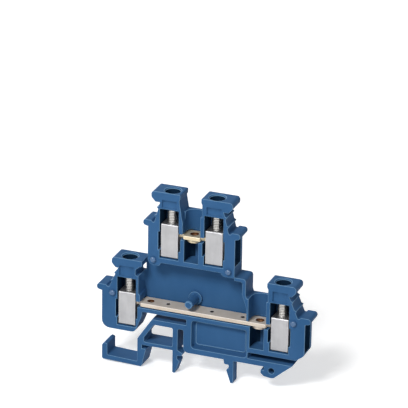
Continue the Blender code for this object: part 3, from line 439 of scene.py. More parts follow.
class NodeBook:
    """Adds shader nodes to one material and links them."""

    def __init__(self, name: str) -> None:
        """Start a material with its Principled shader.

        Args:
            name: Name of the material.
        """
        self.material = bpy.data.materials.new(name)
        self.material.use_nodes = True
        self.tree = self.material.node_tree
        self.shader = self.tree.nodes["Principled BSDF"]
        self.place = self.tree.nodes.new("ShaderNodeTexCoord").outputs["Object"]

    def noise(self, pattern: Pattern) -> bpy.types.NodeSocket:
        """Add a noise pattern in object space.

        Args:
            pattern: The pattern.

        Returns:
            The noise value's socket.
        """
        mapping = self.tree.nodes.new("ShaderNodeMapping")
        mapping.inputs["Scale"].default_value = pattern.stretch
        texture = self.tree.nodes.new("ShaderNodeTexNoise")
        texture.inputs["Scale"].default_value = pattern.scale
        texture.inputs["Detail"].default_value = pattern.detail
        self.tree.links.new(self.place, mapping.inputs["Vector"])
        self.tree.links.new(mapping.outputs["Vector"], texture.inputs["Vector"])
        return texture.outputs["Fac"]

    def span(self, value: bpy.types.NodeSocket, taken: Pair, given: Pair) -> bpy.types.NodeSocket:
        """Map a value from one range to another.

        Args:
            value: The socket to read.
            taken: Ends of the range that is read.
            given: Results at those ends.

        Returns:
            The mapped value's socket.
        """
        mapped = self.tree.nodes.new("ShaderNodeMapRange")
        for end, level in zip(("From Min", "From Max", "To Min", "To Max"), (*taken, *given)):
            mapped.inputs[end].default_value = level
        self.tree.links.new(value, mapped.inputs["Value"])
        return mapped.outputs["Result"]

    def blend(self, share: bpy.types.NodeSocket, first: Triple, second: Triple) -> bpy.types.NodeSocket:
        """Blend two colours.

        Args:
            share: Socket with the share of the second colour.
            first: Linear colour at 0.
            second: Linear colour at 1.

        Returns:
            The blended colour's socket.
        """
        mix = self.tree.nodes.new("ShaderNodeMix")
        mix.data_type = "RGBA"
        mix.inputs["A"].default_value = (*first, 1.0)
        mix.inputs["B"].default_value = (*second, 1.0)
        self.tree.links.new(share, mix.inputs["Factor"])
        return mix.outputs["Result"]

    def relief(self, height: bpy.types.NodeSocket, depth: float,
               before: bpy.types.NodeSocket | None = None) -> bpy.types.NodeSocket:
        """Add a bump from a height pattern.

        Args:
            height: Socket with the height.
            depth: Depth of the relief in metres.
            before: Normal of an earlier bump, if there is one.

        Returns:
            The new normal's socket.
        """
        bump = self.tree.nodes.new("ShaderNodeBump")
        bump.inputs["Strength"].default_value = 1.0
        bump.inputs["Distance"].default_value = depth
        self.tree.links.new(height, bump.inputs["Height"])
        if before is not None:
            self.tree.links.new(before, bump.inputs["Normal"])
        return bump.outputs["Normal"]

    def plug(self, value: bpy.types.NodeSocket, name: str) -> None:
        """Link a socket to an input of the shader."""
        self.tree.links.new(value, self.shader.inputs[name])


@dataclass(frozen=True)
class Finish(ABC):
    """A finish whose tone drifts between two colours, with a paler tone painted on a piece's roundings as a
    highlight.
    """

    name: str
    body: Triple
    pale: Triple
    roughness: Pair
    painted_rim_highlight: Triple | None = None

    @abstractmethod
    def make(self) -> bpy.types.Material:
        """Build the material.

        Returns:
            The finished material.
        """

    def with_rim(self) -> tuple[bpy.types.Material, bpy.types.Material]:
        """Build the material, and the one that paints a highlight on its rounded edges.

        Returns:
            The two materials.
        """
        return self.make(), replace(self, name=self.name + "_rim", body=self.painted_rim_highlight, pale=self.painted_rim_highlight).make()


@dataclass(frozen=True)
class MouldedPlastic(Finish):
    """Blue polyamide as it leaves the mould: satin, faintly mottled, with a fine grain."""

    gloss: float = 0.03
    refraction: float = 1.53
    clouds: Pattern = Pattern(130.0, 4.0, (1.0, 1.0, 0.55))
    sheen: Pattern = Pattern(420.0, 3.0)
    grain: Pattern = Pattern(9000.0, 2.0)
    grain_depth: float = 0.0035 * MM
    waves: Pattern = Pattern(700.0, 2.0, (1.0, 1.0, 0.4))
    wave_depth: float = 0.012 * MM

    def make(self) -> bpy.types.Material:
        """Build the material.

        Returns:
            The finished material.
        """
        book = NodeBook(self.name)
        drift = book.span(book.noise(self.clouds), TONE_SPAN, WHOLE)
        book.plug(book.blend(drift, self.body, self.pale), "Base Color")
        book.plug(book.span(book.noise(self.sheen), SHEEN_SPAN, self.roughness), "Roughness")
        fine = book.relief(book.noise(self.grain), self.grain_depth)
        book.plug(book.relief(book.noise(self.waves), self.wave_depth, fine), "Normal")
        book.shader.inputs["IOR"].default_value = self.refraction
        book.shader.inputs["Specular IOR Level"].default_value = self.gloss
        return book.material


EVEN_GRAIN = Pattern(2400.0, 4.0)
LINES_ALONG_X = Pattern(2400.0, 4.0, (0.06, 1.0, 1.0))
LINES_ALONG_Z = Pattern(2400.0, 4.0, (1.0, 1.0, 0.08))


@dataclass(frozen=True)
class PlatedMetal(Finish):
    """Plated metal: a tone that drifts slightly, and fine drawing lines or an even grain."""

    lines: Pattern = EVEN_GRAIN
    line_depth: float = 0.002 * MM
    metallic: float = 1.0
    clouds: Pattern = Pattern(260.0, 4.0)
    waves: Pattern = Pattern(600.0, 3.0)
    wave_depth: float = 0.008 * MM

    def make(self) -> bpy.types.Material:
        """Build the material.

        Returns:
            The finished material.
        """
        book = NodeBook(self.name)
        drift = book.span(book.noise(self.clouds), TONE_SPAN, WHOLE)
        book.plug(book.blend(drift, self.body, self.pale), "Base Color")
        streaks = book.noise(self.lines)
        book.plug(book.span(streaks, SHEEN_SPAN, self.roughness), "Roughness")
        fine = book.relief(streaks, self.line_depth)
        book.plug(book.relief(book.noise(self.waves), self.wave_depth, fine), "Normal")
        book.shader.inputs["Metallic"].default_value = self.metallic
        return book.material


# The rim tones are painted highlights on the rounded edges, paler than the body.
BLUE_PLASTIC = MouldedPlastic("moulded_blue_polyamide", (0.032, 0.101, 0.228), (0.040, 0.115, 0.252),
                              roughness=(0.42, 0.56), painted_rim_highlight=(0.140, 0.275, 0.440))
# Painted shade: a near-black blue on the walls of deep pockets, wire entries, screw shafts and the shafts'
# lower ends.
PAINTED_SHADE_PLASTIC = replace(BLUE_PLASTIC, name="painted_shade_polyamide",
                         body=(0.006, 0.022, 0.052), pale=(0.008, 0.027, 0.062))
PEG_PLASTIC = replace(BLUE_PLASTIC, name="polished_peg_polyamide", roughness=(0.20, 0.28), gloss=0.70)
CAGE_PLATE = PlatedMetal("satin_plated_cage", (0.39, 0.39, 0.40), (0.46, 0.46, 0.47),
                         roughness=(0.38, 0.54), painted_rim_highlight=(0.56, 0.56, 0.57),
                         lines=LINES_ALONG_Z, line_depth=0.004 * MM)
SCREW_PLATE = PlatedMetal("bright_plated_screw", (0.58, 0.57, 0.55), (0.70, 0.69, 0.67),
                          roughness=(0.26, 0.38), painted_rim_highlight=(0.86, 0.85, 0.83))
# Painted shade between the thread's turns: the screw's core is darker than its ridge.
ROOT_SHADE_PLATE = PlatedMetal("painted_shade_thread_root", (0.200, 0.192, 0.184), (0.270, 0.260, 0.250),
                         roughness=(0.35, 0.55))
BAR_PLATE = PlatedMetal("nickel_plated_bar", (0.55, 0.47, 0.38), (0.64, 0.56, 0.47),
                        roughness=(0.42, 0.58), painted_rim_highlight=(0.83, 0.77, 0.72),
                        lines=LINES_ALONG_X, line_depth=0.004 * MM, metallic=0.15)
BRASS_PLATE = PlatedMetal("brass_toned_bar", (0.62, 0.52, 0.34), (0.74, 0.64, 0.44),
                          roughness=(0.30, 0.46), painted_rim_highlight=(0.90, 0.82, 0.64),
                          lines=LINES_ALONG_X, line_depth=0.004 * MM, metallic=0.5)
THREAD_PLATE = PlatedMetal("coppery_thread", (0.19, 0.09, 0.045), (0.34, 0.18, 0.09), roughness=(0.30, 0.50))
# Painted shade on the walls of the bar's punched holes.
HOLE_SHADE = PlatedMetal("painted_hole_shade", (0.020, 0.018, 0.018), (0.035, 0.030, 0.028),
                         roughness=(0.50, 0.70), metallic=0.3)


def shade(obj: bpy.types.Object) -> None:
    """Shade an object smooth over shallow edges, with its flat faces kept flat.

    Args:
        obj: The object to shade.
    """
    work_on(obj)
    bpy.ops.object.shade_smooth_by_angle(angle=SMOOTH_ANGLE)
    weights = obj.modifiers.new("weights", "WEIGHTED_NORMAL")
    weights.keep_sharp = True
    bpy.ops.object.modifier_apply(modifier=weights.name)


def dress(obj: bpy.types.Object, body: str, node: str) -> None:
    """Shade a piece and tie it to the frame.

    Args:
        obj: The finished piece, with its materials.
        body: Body of the frame that it moves with.
        node: Solid of the frame that it stands for.
    """
    shade(obj)
    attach(obj, body)
    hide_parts(node)


# Places on the block

@dataclass
class ClampPlace:
    """Where one clamp sits, read from the frame."""

    name: str
    body_end: str
    side: Side

    @cached_property
    def cage_box(self) -> tuple[Vector, Vector]:
        """Corners of this clamp's cage."""
        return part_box("cage_" + self.name)

    @cached_property
    def screw_box(self) -> tuple[Vector, Vector]:
        """Corners of this clamp's screw."""
        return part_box("screw_" + self.name)

    @cached_property
    def axis(self) -> Vector:
        """Point on the clamp's axis, at the cage's lower side."""
        low, high = self.cage_box
        return Vector(((low.x + high.x) / 2, (low.y + high.y) / 2, low.z))


@dataclass(frozen=True)
class BridgeShaft:
    """Where one bridge shaft stands over a bar's collar, and where the painted shade on its lower end
    begins.
    """

    x: float
    sump_low: float


PLACES = (ClampPlace("upper_left", "ul", Side.LEFT), ClampPlace("upper_right", "ur", Side.RIGHT),
          ClampPlace("lower_left", "ll", Side.LEFT), ClampPlace("lower_right", "lr", Side.RIGHT))
UPPER_SHAFT = BridgeShaft(-4.7 * MM, 27.9 * MM)
LOWER_SHAFT = BridgeShaft(15.3 * MM, 5.0 * MM)


# Housing

@dataclass
class Housing:
    """The blue moulding, with the small roundings that a mould leaves on every edge."""

    places: tuple[ClampPlace, ...] = PLACES
    shafts: tuple[BridgeShaft, ...] = (UPPER_SHAFT, LOWER_SHAFT)
    edge_width: float = 0.10 * MM
    long_peg_x: float = -4.95 * MM
    long_peg_z: float = 15.25 * MM
    long_peg_reach: float = 3.0 * MM
    peg_start: float = -3.55 * MM
    peg_round: float = 0.20 * MM
    peg_faces: int = 3
    # Reach of the painted shade in pockets, wire entries, shafts and sumps, and of the neck fronts that lose
    # the painted rim highlight
    pocket_side: float = 0.90 * MM
    pocket_front: float = -2.6 * MM
    pocket_top: float = 14.8 * MM
    entry_low: float = 3.4 * MM
    entry_high: float = 7.6 * MM
    entry_drop: float = 0.4 * MM
    entry_rise: float = 7.0 * MM
    shaft_reach: float = 2.3 * MM
    neck_half: float = 2.4 * MM
    neck_low: float = 0.2 * MM
    neck_high: float = 4.4 * MM
    sump_reach: float = 2.3 * MM
    sump_depth: float = 7.0 * MM
    sump_lit: float = 0.6 * MM

    def build(self) -> bpy.types.Object:
        """Build the moulding and tie it to the frame.

        Returns:
            The moulding.
        """
        shell = merged_copy("housing", "housing_moulding")
        self.round_pegs(shell)
        soften_edges(shell, self.edge_width, (*BLUE_PLASTIC.with_rim(), PAINTED_SHADE_PLASTIC.make(),
                                             PEG_PLASTIC.make()))
        # Painted shade goes on the recesses; the neck fronts go back to the body tone, without the painted
        # rim highlight.
        for face in shell.data.polygons:
            if any(self.takes_recess_painted_shade(face, place) for place in self.places) or self.takes_sump_painted_shade(face):
                face.material_index = PAINTED_SHADE_COAT
            elif self.on_small_peg(face.center):
                face.material_index = PEG_COAT
            elif any(self.on_neck(face, place) for place in self.places):
                face.material_index = BODY_COAT
        dress(shell, "block", "housing")
        return shell

    def on_small_peg(self, point: Vector) -> bool:
        """Tell whether a point is on the end of one of the four small keying pegs.

        Args:
            point: A point of the moulding.

        Returns:
            True on a small peg, and False on the long one.
        """
        away = Vector((point.x - self.long_peg_x, point.z - self.long_peg_z)).length
        return away > self.long_peg_reach and point.y < self.peg_start

    def round_pegs(self, shell: bpy.types.Object) -> None:
        """Round the ring at the end of each small keying peg.

        Args:
            shell: The moulding.
        """
        select_edges(shell, lambda edge: spread(edge).y < SLACK and self.on_small_peg(edge.verts[0].co))
        bpy.ops.mesh.bevel(offset=self.peg_round, segments=self.peg_faces, affect="EDGES")
        leave_edit()

    def takes_recess_painted_shade(self, face: bpy.types.MeshPolygon, place: ClampPlace) -> bool:
        """Tell whether a face is a wall of a clamp's pocket, of its wire entry or of its screw's shaft,
        where shade is painted.

        Args:
            face: A face of the moulding.
            place: The clamp.

        Returns:
            True for a wall of one of these recesses.
        """
        low, high = place.cage_box
        middle = face.center
        rise = middle.z - low.z
        if face.material_index == PAINTED_HIGHLIGHT_COAT or middle.y < self.pocket_front or face.normal.y > LEANING:
            return False
        outwards = (middle.x - place.axis.x) * place.side.value
        if self.entry_low < outwards < self.entry_high and -self.entry_drop < rise < self.entry_rise:
            return abs(face.normal.x) < SQUARE
        if abs(face.normal.z) > LEANING:
            return False
        if rise > self.pocket_top:
            return (middle.xy - place.axis.xy).length < self.shaft_reach
        beside = low.x - self.pocket_side < middle.x < high.x + self.pocket_side
        return beside and rise > -self.pocket_side

    def on_neck(self, face: bpy.types.MeshPolygon, place: ClampPlace) -> bool:
        """Tell whether a face is on the bulged neck over a clamp's pocket, which gets no painted rim
        highlight.

        Args:
            face: A face of the moulding.
            place: The clamp.

        Returns:
            True for a face or a rounding of the neck's front.
        """
        middle = face.center
        rise = middle.z - place.axis.z - self.pocket_top
        inside = abs(middle.x - place.axis.x) < self.neck_half and middle.y < self.pocket_front
        return inside and self.neck_low < rise < self.neck_high

    def takes_sump_painted_shade(self, face: bpy.types.MeshPolygon) -> bool:
        """Tell whether a face is on the side of a bridge shaft's lower end where shade is painted.

        Args:
            face: A face of the moulding.

        Returns:
            True for the side with painted shade.
        """
        middle = face.center
        for shaft in self.shafts:
            across = middle.x - shaft.x
            level = shaft.sump_low < middle.z < shaft.sump_low + self.sump_depth
            if level and -self.sump_reach < across < -self.sump_lit and middle.y > self.pocket_front:
                upright = abs(face.normal.z) < LEANING and face.normal.y < LEANING
                return face.material_index == BODY_COAT and upright
        return False


# Clamps

@dataclass
class ClampCage:
    """Folded cage of one clamp: plates front and back, a thick roof whose thread is left as a plain bore,
    and a grooved floor.
    """

    place: ClampPlace
    finishes: tuple[bpy.types.Material, ...]
    sheet: float = 0.8 * MM
    floor: float = 1.0 * MM
    roof: float = 2.0 * MM
    fold_radius: float = 0.4 * MM
    fold_faces: int = 6
    window_radius: float = 0.25 * MM
    window_faces: int = 4
    bore_radius: float = 1.52 * MM
    edge_width: float = 0.09 * MM
    groove_depth: float = 0.14 * MM
    groove_step: float = 1.1 * MM
    groove_share: float = 1 / 3
    groove_inset: float = 0.35 * MM
    seam_width: float = 0.07 * MM
    seam_offset: float = 0.45 * MM
    seam_height: float = 0.45 * MM

    def model(self) -> bpy.types.Object:
        """Model the cage at its place.

        Returns:
            The cage, with its materials.
        """
        low, high = self.place.cage_box
        cage = add_box("clamp_cage", low, high)
        self.round_folds(cage, self.fold_radius, self.fold_faces)
        self.cut_window(cage, low, high)
        self.cut_bore(cage, high.z)
        self.cut_grooves(cage, low, high)
        self.cut_seam(cage, low, high)
        soften_edges(cage, self.edge_width, self.finishes)
        return cage

    def round_folds(self, shape: bpy.types.Object, radius: float, faces: int) -> None:
        """Round the four edges of a box that run along X.

        Args:
            shape: The box.
            radius: Radius of the rounding.
            faces: Faces across it.
        """
        select_edges(shape, lambda edge: spread(edge).y < SLACK and spread(edge).z < SLACK)
        bpy.ops.mesh.bevel(offset=radius, segments=faces, affect="EDGES")
        leave_edit()

    def cut_window(self, cage: bpy.types.Object, low: Vector, high: Vector) -> None:
        """Cut the window that the wire and the bar's end pass through.

        Args:
            cage: The cage.
            low: Its lowest corner.
            high: Its highest corner.
        """
        window = add_box("window", (low.x - OVERCUT, low.y + self.sheet, low.z + self.floor),
                         (high.x + OVERCUT, high.y - self.sheet, high.z - self.roof))
        self.round_folds(window, self.window_radius, self.window_faces)
        cut(cage, window)

    def cut_bore(self, cage: bpy.types.Object, top: float) -> None:
        """Cut the screw's hole through the roof.

        Args:
            cage: The cage.
            top: Height of the roof's upper side.
        """
        foot = Vector((self.place.axis.x, self.place.axis.y, top - self.roof - OVERCUT))
        cut(cage, add_rod("bore", self.bore_radius, foot, self.roof + 2 * OVERCUT))

    def cut_grooves(self, cage: bpy.types.Object, low: Vector, high: Vector) -> None:
        """Cut the cross grooves in the floor, which grip the wire.

        Args:
            cage: The cage.
            low: Its lowest corner.
            high: Its highest corner.
        """
        count = int((high.x - low.x) / self.groove_step)
        start = (low.x + high.x - (count - 1) * self.groove_step) / 2
        half = self.groove_step * self.groove_share / 2
        top = low.z + self.floor
        inset = self.sheet + self.groove_inset
        for index in range(count):
            middle = start + index * self.groove_step
            groove = add_box("groove", (middle - half, low.y + inset, top - self.groove_depth),
                             (middle + half, high.y - inset, top + self.groove_depth))
            cut(cage, groove)

    def cut_seam(self, cage: bpy.types.Object, low: Vector, high: Vector) -> None:
        """Cut the thin seam under the floor, where the strip's two ends meet.

        Args:
            cage: The cage.
            low: Its lowest corner.
            high: Its highest corner.
        """
        front = self.place.axis.y + self.seam_offset
        seam = add_box("seam", (low.x - OVERCUT, front, low.z - OVERCUT),
                       (high.x + OVERCUT, front + self.seam_width, low.z + self.seam_height))
        cut(cage, seam)


@dataclass
class ClampScrew:
    """Slotted clamp screw: a bright head in the tower's shaft over a threaded shank."""

    place: ClampPlace
    finishes: tuple[bpy.types.Material, ...]
    head_height: float = 2.1 * MM
    head_edge: float = 0.28 * MM
    head_faces: int = 4
    slot_width: float = 0.7 * MM
    slot_depth: float = 1.0 * MM
    shank_radius: float = 1.5 * MM
    core_radius: float = 1.19 * MM
    core_overlap: float = 0.2 * MM
    point_length: float = 0.6 * MM
    point_bevel: float = 0.35 * MM
    point_faces: int = 3
    pitch: float = 0.5 * MM
    ridge_sink: float = 0.04 * MM
    ridge_drop: float = 0.02 * MM
    ridge_half_root: float = 0.215 * MM
    ridge_half_crest: float = 0.12 * MM
    edge_width: float = 0.05 * MM

    def model(self) -> bpy.types.Object:
        """Model the screw at its place.

        Returns:
            The screw, with its materials.
        """
        low, high = self.place.screw_box
        centre = Vector(((low.x + high.x) / 2, (low.y + high.y) / 2, low.z))
        head = self.make_head(centre, high.z, (high.x - low.x) / 2)
        neck = high.z - self.head_height
        core = add_rod("core", self.core_radius, centre, neck - low.z + self.core_overlap)
        select_edges(core, lambda edge: max(end.co.z for end in edge.verts) < low.z + SLACK)
        bpy.ops.mesh.bevel(offset=self.point_bevel, segments=self.point_faces, affect="EDGES")
        leave_edit()
        turns = int((neck - low.z - self.point_length) / self.pitch)
        shape = ThreadRidge(self.core_radius - self.ridge_sink, self.shank_radius, self.pitch,
                            self.ridge_half_root, self.ridge_half_crest)
        ridge = shape.wind(Vector((centre.x, centre.y, neck - turns * self.pitch - self.ridge_drop)), turns)
        # The core between the ridge's turns takes the painted shade.
        core.data.materials.append(self.finishes[ROOT_SHADE_COAT])
        ridge.data.materials.append(self.finishes[BODY_COAT])
        return join([head, core, ridge], "clamp_screw")

    def make_head(self, centre: Vector, top: float, radius: float) -> bpy.types.Object:
        """Make the slotted head.

        Args:
            centre: Point on the screw's axis.
            top: Height of the head's top.
            radius: Radius of the head.

        Returns:
            The head.
        """
        head = add_rod("head", radius, Vector((centre.x, centre.y, top - self.head_height)),
                       self.head_height)
        select_edges(head, lambda edge: min(end.co.z for end in edge.verts) > top - SLACK)
        bpy.ops.mesh.bevel(offset=self.head_edge, segments=self.head_faces, affect="EDGES")
        leave_edit()
        half = self.slot_width / 2
        slot = add_box("slot", (centre.x - radius - OVERCUT, centre.y - half, top - self.slot_depth),
                       (centre.x + radius + OVERCUT, centre.y + half, top + OVERCUT))
        cut(head, slot)
        soften_edges(head, self.edge_width, self.finishes)
        return head


@dataclass
class Clamps:
    """The clamps: one cage and one screw are modelled, and every place gets copies of its own."""

    places: tuple[ClampPlace, ...] = PLACES

    def build(self) -> list[bpy.types.Object]:
        """Build the clamps and tie them to the frame.

        Returns:
            The cages and the screws.
        """
        first = self.places[0]
        cage = ClampCage(first, CAGE_PLATE.with_rim()).model()
        screw = ClampScrew(first, (*SCREW_PLATE.with_rim(), ROOT_SHADE_PLATE.make())).model()
        pieces = []
        for place in self.places:
            shift = place.axis - first.axis
            for kind, model, slot in (("cage", cage, Slot.CAGE), ("screw", screw, Slot.SCREW)):
                piece = copy_to(model, f"clamp_{kind}_{place.name}", shift)
                dress(piece, f"{kind}_{place.body_end}", f"{kind}_{place.name}")
                pieces.append(piece)
        discard(cage)
        discard(screw)
        return pieces


# Current bars

@dataclass
class CurrentBar:
    """Punched current bar, with a thread in each collar and painted shade on the walls of its punched holes.
    """

    node: str
    name: str
    plate: PlatedMetal
    threads: tuple[float, ...]
    new_threads: tuple[float, ...] = ()
    holes: tuple[float, ...] = ()
    edge_width: float = 0.10 * MM
    bore_radius: float = 1.25 * MM
    new_bore_radius: float = 1.05 * MM
    clamp_y: float = -0.375 * MM
    thickness: float = 1.1 * MM
    thread_reach: float = 1.34 * MM
    hole_reach: float = 0.66 * MM
    pitch: float = 0.45 * MM
    thread_depth: float = 0.17 * MM
    thread_sink: float = 0.05 * MM
    thread_half_root: float = 0.2 * MM
    thread_half_crest: float = 0.03 * MM
    thread_start: float = 0.25 * MM
    thread_room: float = 0.35 * MM

    def build(self, insides: tuple[bpy.types.Material, ...]) -> bpy.types.Object:
        """Build the bar and tie it to the frame.

        Args:
            insides: Materials of the threads and of the painted shade in the punched holes.

        Returns:
            The bar.
        """
        bar = merged_copy(self.node, "plate")
        low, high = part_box(self.node)
        for x in self.new_threads:
            foot = Vector((x, self.clamp_y, low.z - OVERCUT))
            cut(bar, add_rod("bore", self.new_bore_radius, foot, high.z - low.z + 2 * OVERCUT))
        coats = (*self.plate.with_rim(), *insides)
        soften_edges(bar, self.edge_width, coats)
        self.tint_walls(bar, self.threads + self.new_threads, self.thread_reach, THREAD_COAT)
        # Painted shade on the walls of the punched holes.
        self.tint_walls(bar, self.holes, self.hole_reach, HOLE_SHADE_COAT)
        ridges = [self.wind_thread(x, self.bore_radius, low.z, high.z) for x in self.threads]
        for x in self.new_threads:
            ridges.append(self.wind_thread(x, self.new_bore_radius, high.z - self.thickness, high.z))
        for ridge in ridges:
            ridge.data.materials.append(coats[THREAD_COAT])
        joined = join([bar, *ridges], self.name)
        dress(joined, "block", self.node)
        return joined

    def tint_walls(self, bar: bpy.types.Object, centres: tuple[float, ...], reach: float,
                   coat: int) -> None:
        """Give the walls of round holes another finish: the thread's own tone, or painted shade in punched
        holes.

        Args:
            bar: The bar.
            centres: Places of the holes along the bar.
            reach: Faces nearer to a hole's axis than this are in its wall.
            coat: Place of the finish in the bar's list of materials.
        """
        for face in bar.data.polygons:
            for x in centres:
                away = Vector((face.center.x - x, face.center.y - self.clamp_y))
                if away.length < reach and abs(face.normal.z) < LEANING:
                    face.material_index = coat

    def wind_thread(self, x: float, radius: float, low: float, high: float) -> bpy.types.Object:
        """Wind the thread of one bore.

        Args:
            x: Place of the bore along the bar.
            radius: Radius of the bore.
            low: Height of the bore's lower end.
            high: Height of its upper end.

        Returns:
            The thread's ridge.
        """
        turns = int((high - low - self.thread_room) / self.pitch)
        shape = ThreadRidge(radius + self.thread_sink, radius - self.thread_depth, self.pitch,
                            self.thread_half_root, self.thread_half_crest)
        return shape.wind(Vector((x, self.clamp_y, low + self.thread_start)), turns)


UPPER_BAR = CurrentBar("bar_upper", "current_bar_upper", BRASS_PLATE, threads=(UPPER_SHAFT.x,))
LOWER_BAR = CurrentBar("bar_lower", "current_bar_lower", BAR_PLATE, threads=(LOWER_SHAFT.x,),
                       new_threads=(-17.65 * MM,), holes=(-12.3 * MM, 0.9 * MM, 10.1 * MM))


# Studio

def towards(azimuth: float, elevation: float) -> Vector:
    """Point away from the block in a given direction.

    Args:
        azimuth: Degrees from the front, positive towards +X.
        elevation: Degrees above the horizon.

    Returns:
        The direction, one unit long.
    """
    turn = radians(azimuth)
    rise = radians(elevation)
    return Vector((sin(turn) * cos(rise), -cos(turn) * cos(rise), sin(rise)))


@dataclass(frozen=True)
class Softbox:
    """A square area lamp that faces a point of the block."""

    name: str
    azimuth: float
    elevation: float
    distance: float
    size: float
    power: float

    def build(self, target: Vector) -> None:
        """Place the lamp.

        Args:
            target: The point that it faces.
        """
        lamp = bpy.data.lights.new(self.name, "AREA")
        lamp.shape = "SQUARE"
        lamp.size = self.size
        lamp.energy = self.power
        away = towards(self.azimuth, self.elevation)
        holder = bpy.data.objects.new(self.name, lamp)
        bpy.context.scene.collection.objects.link(holder)
        holder.location = target + away * self.distance
        holder.rotation_mode = "QUATERNION"
        holder.rotation_quaternion = away.to_track_quat("Z", "Y")


KEY_LAMP = Softbox("key", azimuth=-10.0, elevation=46.0, distance=0.60, size=0.16, power=2.6)
FILL_LAMP = Softbox("fill", azimuth=34.0, elevation=14.0, distance=0.70, size=0.50, power=0.62)
BACK_LAMP = Softbox("back", azimuth=-125.0, elevation=12.0, distance=0.70, size=0.50, power=2.8)


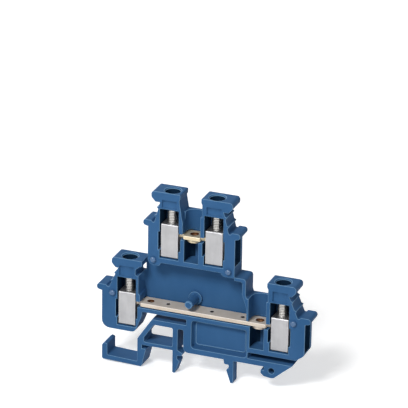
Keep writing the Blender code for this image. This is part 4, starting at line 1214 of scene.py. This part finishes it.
@dataclass
class Studio:
    """Pale floor, white surroundings and soft lamps."""

    target: Vector = field(default_factory=lambda: Vector((0.0, 0.0, 20 * MM)))
    lamps: tuple[Softbox, ...] = (KEY_LAMP, FILL_LAMP, BACK_LAMP)
    world_level: float = 0.25
    floor_size: float = 4.0
    floor_gap: float = 0.02 * MM
    floor_color: Triple = (0.90, 0.90, 0.90)
    floor_roughness: float = 0.9
    floor_lift: float = 0.38
    far_lift: float = 0.80
    lift_start: float = 0.12
    lift_end: float = 0.60

    def build(self) -> None:
        """Build everything round the block."""
        self.make_world()
        self.make_floor()
        for lamp in self.lamps:
            lamp.build(self.target)

    def make_world(self) -> None:
        """Light the block evenly, and show white to the camera and in reflections."""
        world = bpy.data.worlds.new("studio")
        bpy.context.scene.world = world
        world.use_nodes = True
        tree = world.node_tree
        background = tree.nodes["Background"]
        level = tree.nodes.new("ShaderNodeMapRange")
        level.inputs["To Min"].default_value = self.world_level
        level.inputs["To Max"].default_value = 1.0
        tree.links.new(self.seen(tree), level.inputs["Value"])
        tree.links.new(level.outputs["Result"], background.inputs["Strength"])
        background.inputs["Color"].default_value = (1.0, 1.0, 1.0, 1.0)

    def seen(self, tree: bpy.types.NodeTree) -> bpy.types.NodeSocket:
        """Tell rays that show the surroundings from rays that only light the block.

        Args:
            tree: Node tree to add to.

        Returns:
            Socket that is 1 for camera, glossy and transmission rays.
        """
        paths = tree.nodes.new("ShaderNodeLightPath")
        total = paths.outputs["Is Camera Ray"]
        for kind in ("Is Glossy Ray", "Is Transmission Ray"):
            either = tree.nodes.new("ShaderNodeMath")
            either.operation = "MAXIMUM"
            tree.links.new(total, either.inputs[0])
            tree.links.new(paths.outputs[kind], either.inputs[1])
            total = either.outputs["Value"]
        return total

    def lift_by_distance(self, tree: bpy.types.NodeTree) -> bpy.types.NodeSocket:
        """Lift the floor more where it lies farther from the block, out of the lamps' reach.

        Args:
            tree: Node tree to add to.

        Returns:
            Socket with the floor's own brightness.
        """
        place = tree.nodes.new("ShaderNodeTexCoord").outputs["Object"]
        away = tree.nodes.new("ShaderNodeVectorMath")
        away.operation = "LENGTH"
        level = tree.nodes.new("ShaderNodeMapRange")
        level.inputs["From Min"].default_value = self.lift_start
        level.inputs["From Max"].default_value = self.lift_end
        level.inputs["To Min"].default_value = self.floor_lift
        level.inputs["To Max"].default_value = self.far_lift
        tree.links.new(place, away.inputs[0])
        tree.links.new(away.outputs["Value"], level.inputs["Value"])
        return level.outputs["Result"]

    def make_floor(self) -> None:
        """Lay the pale floor just under the block."""
        bpy.ops.object.select_all(action="DESELECT")
        level = CAD_BOX[0].z - self.floor_gap
        bpy.ops.mesh.primitive_plane_add(size=self.floor_size, location=(0.0, 0.0, level))
        floor = bpy.context.active_object
        floor.name = "floor"
        floor.data.materials.append(self.floor_material())

    def floor_material(self) -> bpy.types.Material:
        """Build the floor's material, with a brightness of its own where it is seen.

        Returns:
            The material.
        """
        material = bpy.data.materials.new("pale_floor")
        material.use_nodes = True
        tree = material.node_tree
        shader = tree.nodes["Principled BSDF"]
        shader.inputs["Base Color"].default_value = (*self.floor_color, 1.0)
        shader.inputs["Roughness"].default_value = self.floor_roughness
        lift = tree.nodes.new("ShaderNodeMath")
        lift.operation = "MULTIPLY"
        tree.links.new(self.seen(tree), lift.inputs[0])
        tree.links.new(self.lift_by_distance(tree), lift.inputs[1])
        glow = tree.nodes.new("ShaderNodeEmission")
        tree.links.new(lift.outputs["Value"], glow.inputs["Strength"])
        total = tree.nodes.new("ShaderNodeAddShader")
        tree.links.new(shader.outputs["BSDF"], total.inputs[0])
        tree.links.new(glow.outputs["Emission"], total.inputs[1])
        tree.links.new(total.outputs["Shader"], tree.nodes["Material Output"].inputs["Surface"])
        return material


@dataclass
class Camera:
    """Camera at the photograph's angle, with its framing."""

    azimuth: float = 20.68
    elevation: float = 22.52
    roll: float = 0.93
    distance: float = 875.2 * MM
    offset_right: float = 2.379 * MM
    offset_up: float = -46.432 * MM
    frame_origin: Vector = field(default_factory=lambda: Vector((0.45 * MM, -3.1 * MM, 0.35 * MM)))
    focal_pixels: float = 3098.0
    principal: Pair = (198.0, 191.0)
    image_size: int = 408
    sensor: float = 36.0
    clip_start: float = 0.01
    clip_end: float = 20.0

    def build(self) -> None:
        """Make the camera and set it as the scene's own."""
        turn = radians(self.azimuth)
        lean = radians(self.roll)
        back = towards(self.azimuth, self.elevation)
        level_right = Vector((cos(turn), sin(turn), 0.0))
        level_up = back.cross(level_right)
        right = cos(lean) * level_right + sin(lean) * level_up
        up = cos(lean) * level_up - sin(lean) * level_right
        place = self.frame_origin - self.offset_right * right - self.offset_up * up + self.distance * back
        data = bpy.data.cameras.new("camera")
        data.sensor_width = self.sensor
        data.lens = self.focal_pixels / self.image_size * self.sensor
        data.shift_x = (self.image_size / 2 - self.principal[0]) / self.image_size
        data.shift_y = (self.principal[1] - self.image_size / 2) / self.image_size
        data.clip_start = self.clip_start
        data.clip_end = self.clip_end
        camera = bpy.data.objects.new("camera", data)
        bpy.context.scene.collection.objects.link(camera)
        turned = Matrix((right, up, back)).transposed()
        camera.matrix_world = Matrix.Translation(place) @ turned.to_4x4()
        bpy.context.scene.camera = camera


def main() -> None:
    """Build the camera, the studio and the block's looks, and report each piece."""
    logging.basicConfig(level=logging.INFO, format="%(name)s %(message)s")
    Camera().build()
    Studio().build()
    pieces = [Housing().build(), *Clamps().build()]
    insides = (THREAD_PLATE.make(), HOLE_SHADE.make())
    for bar in (UPPER_BAR, LOWER_BAR):
        pieces.append(bar.build(insides))
    for piece in pieces:
        LOG.info("%s: %d faces", piece.name, len(piece.data.polygons))
    bpy.context.scene.view_settings.view_transform = "Standard"


if __name__ == "__main__":
    main()
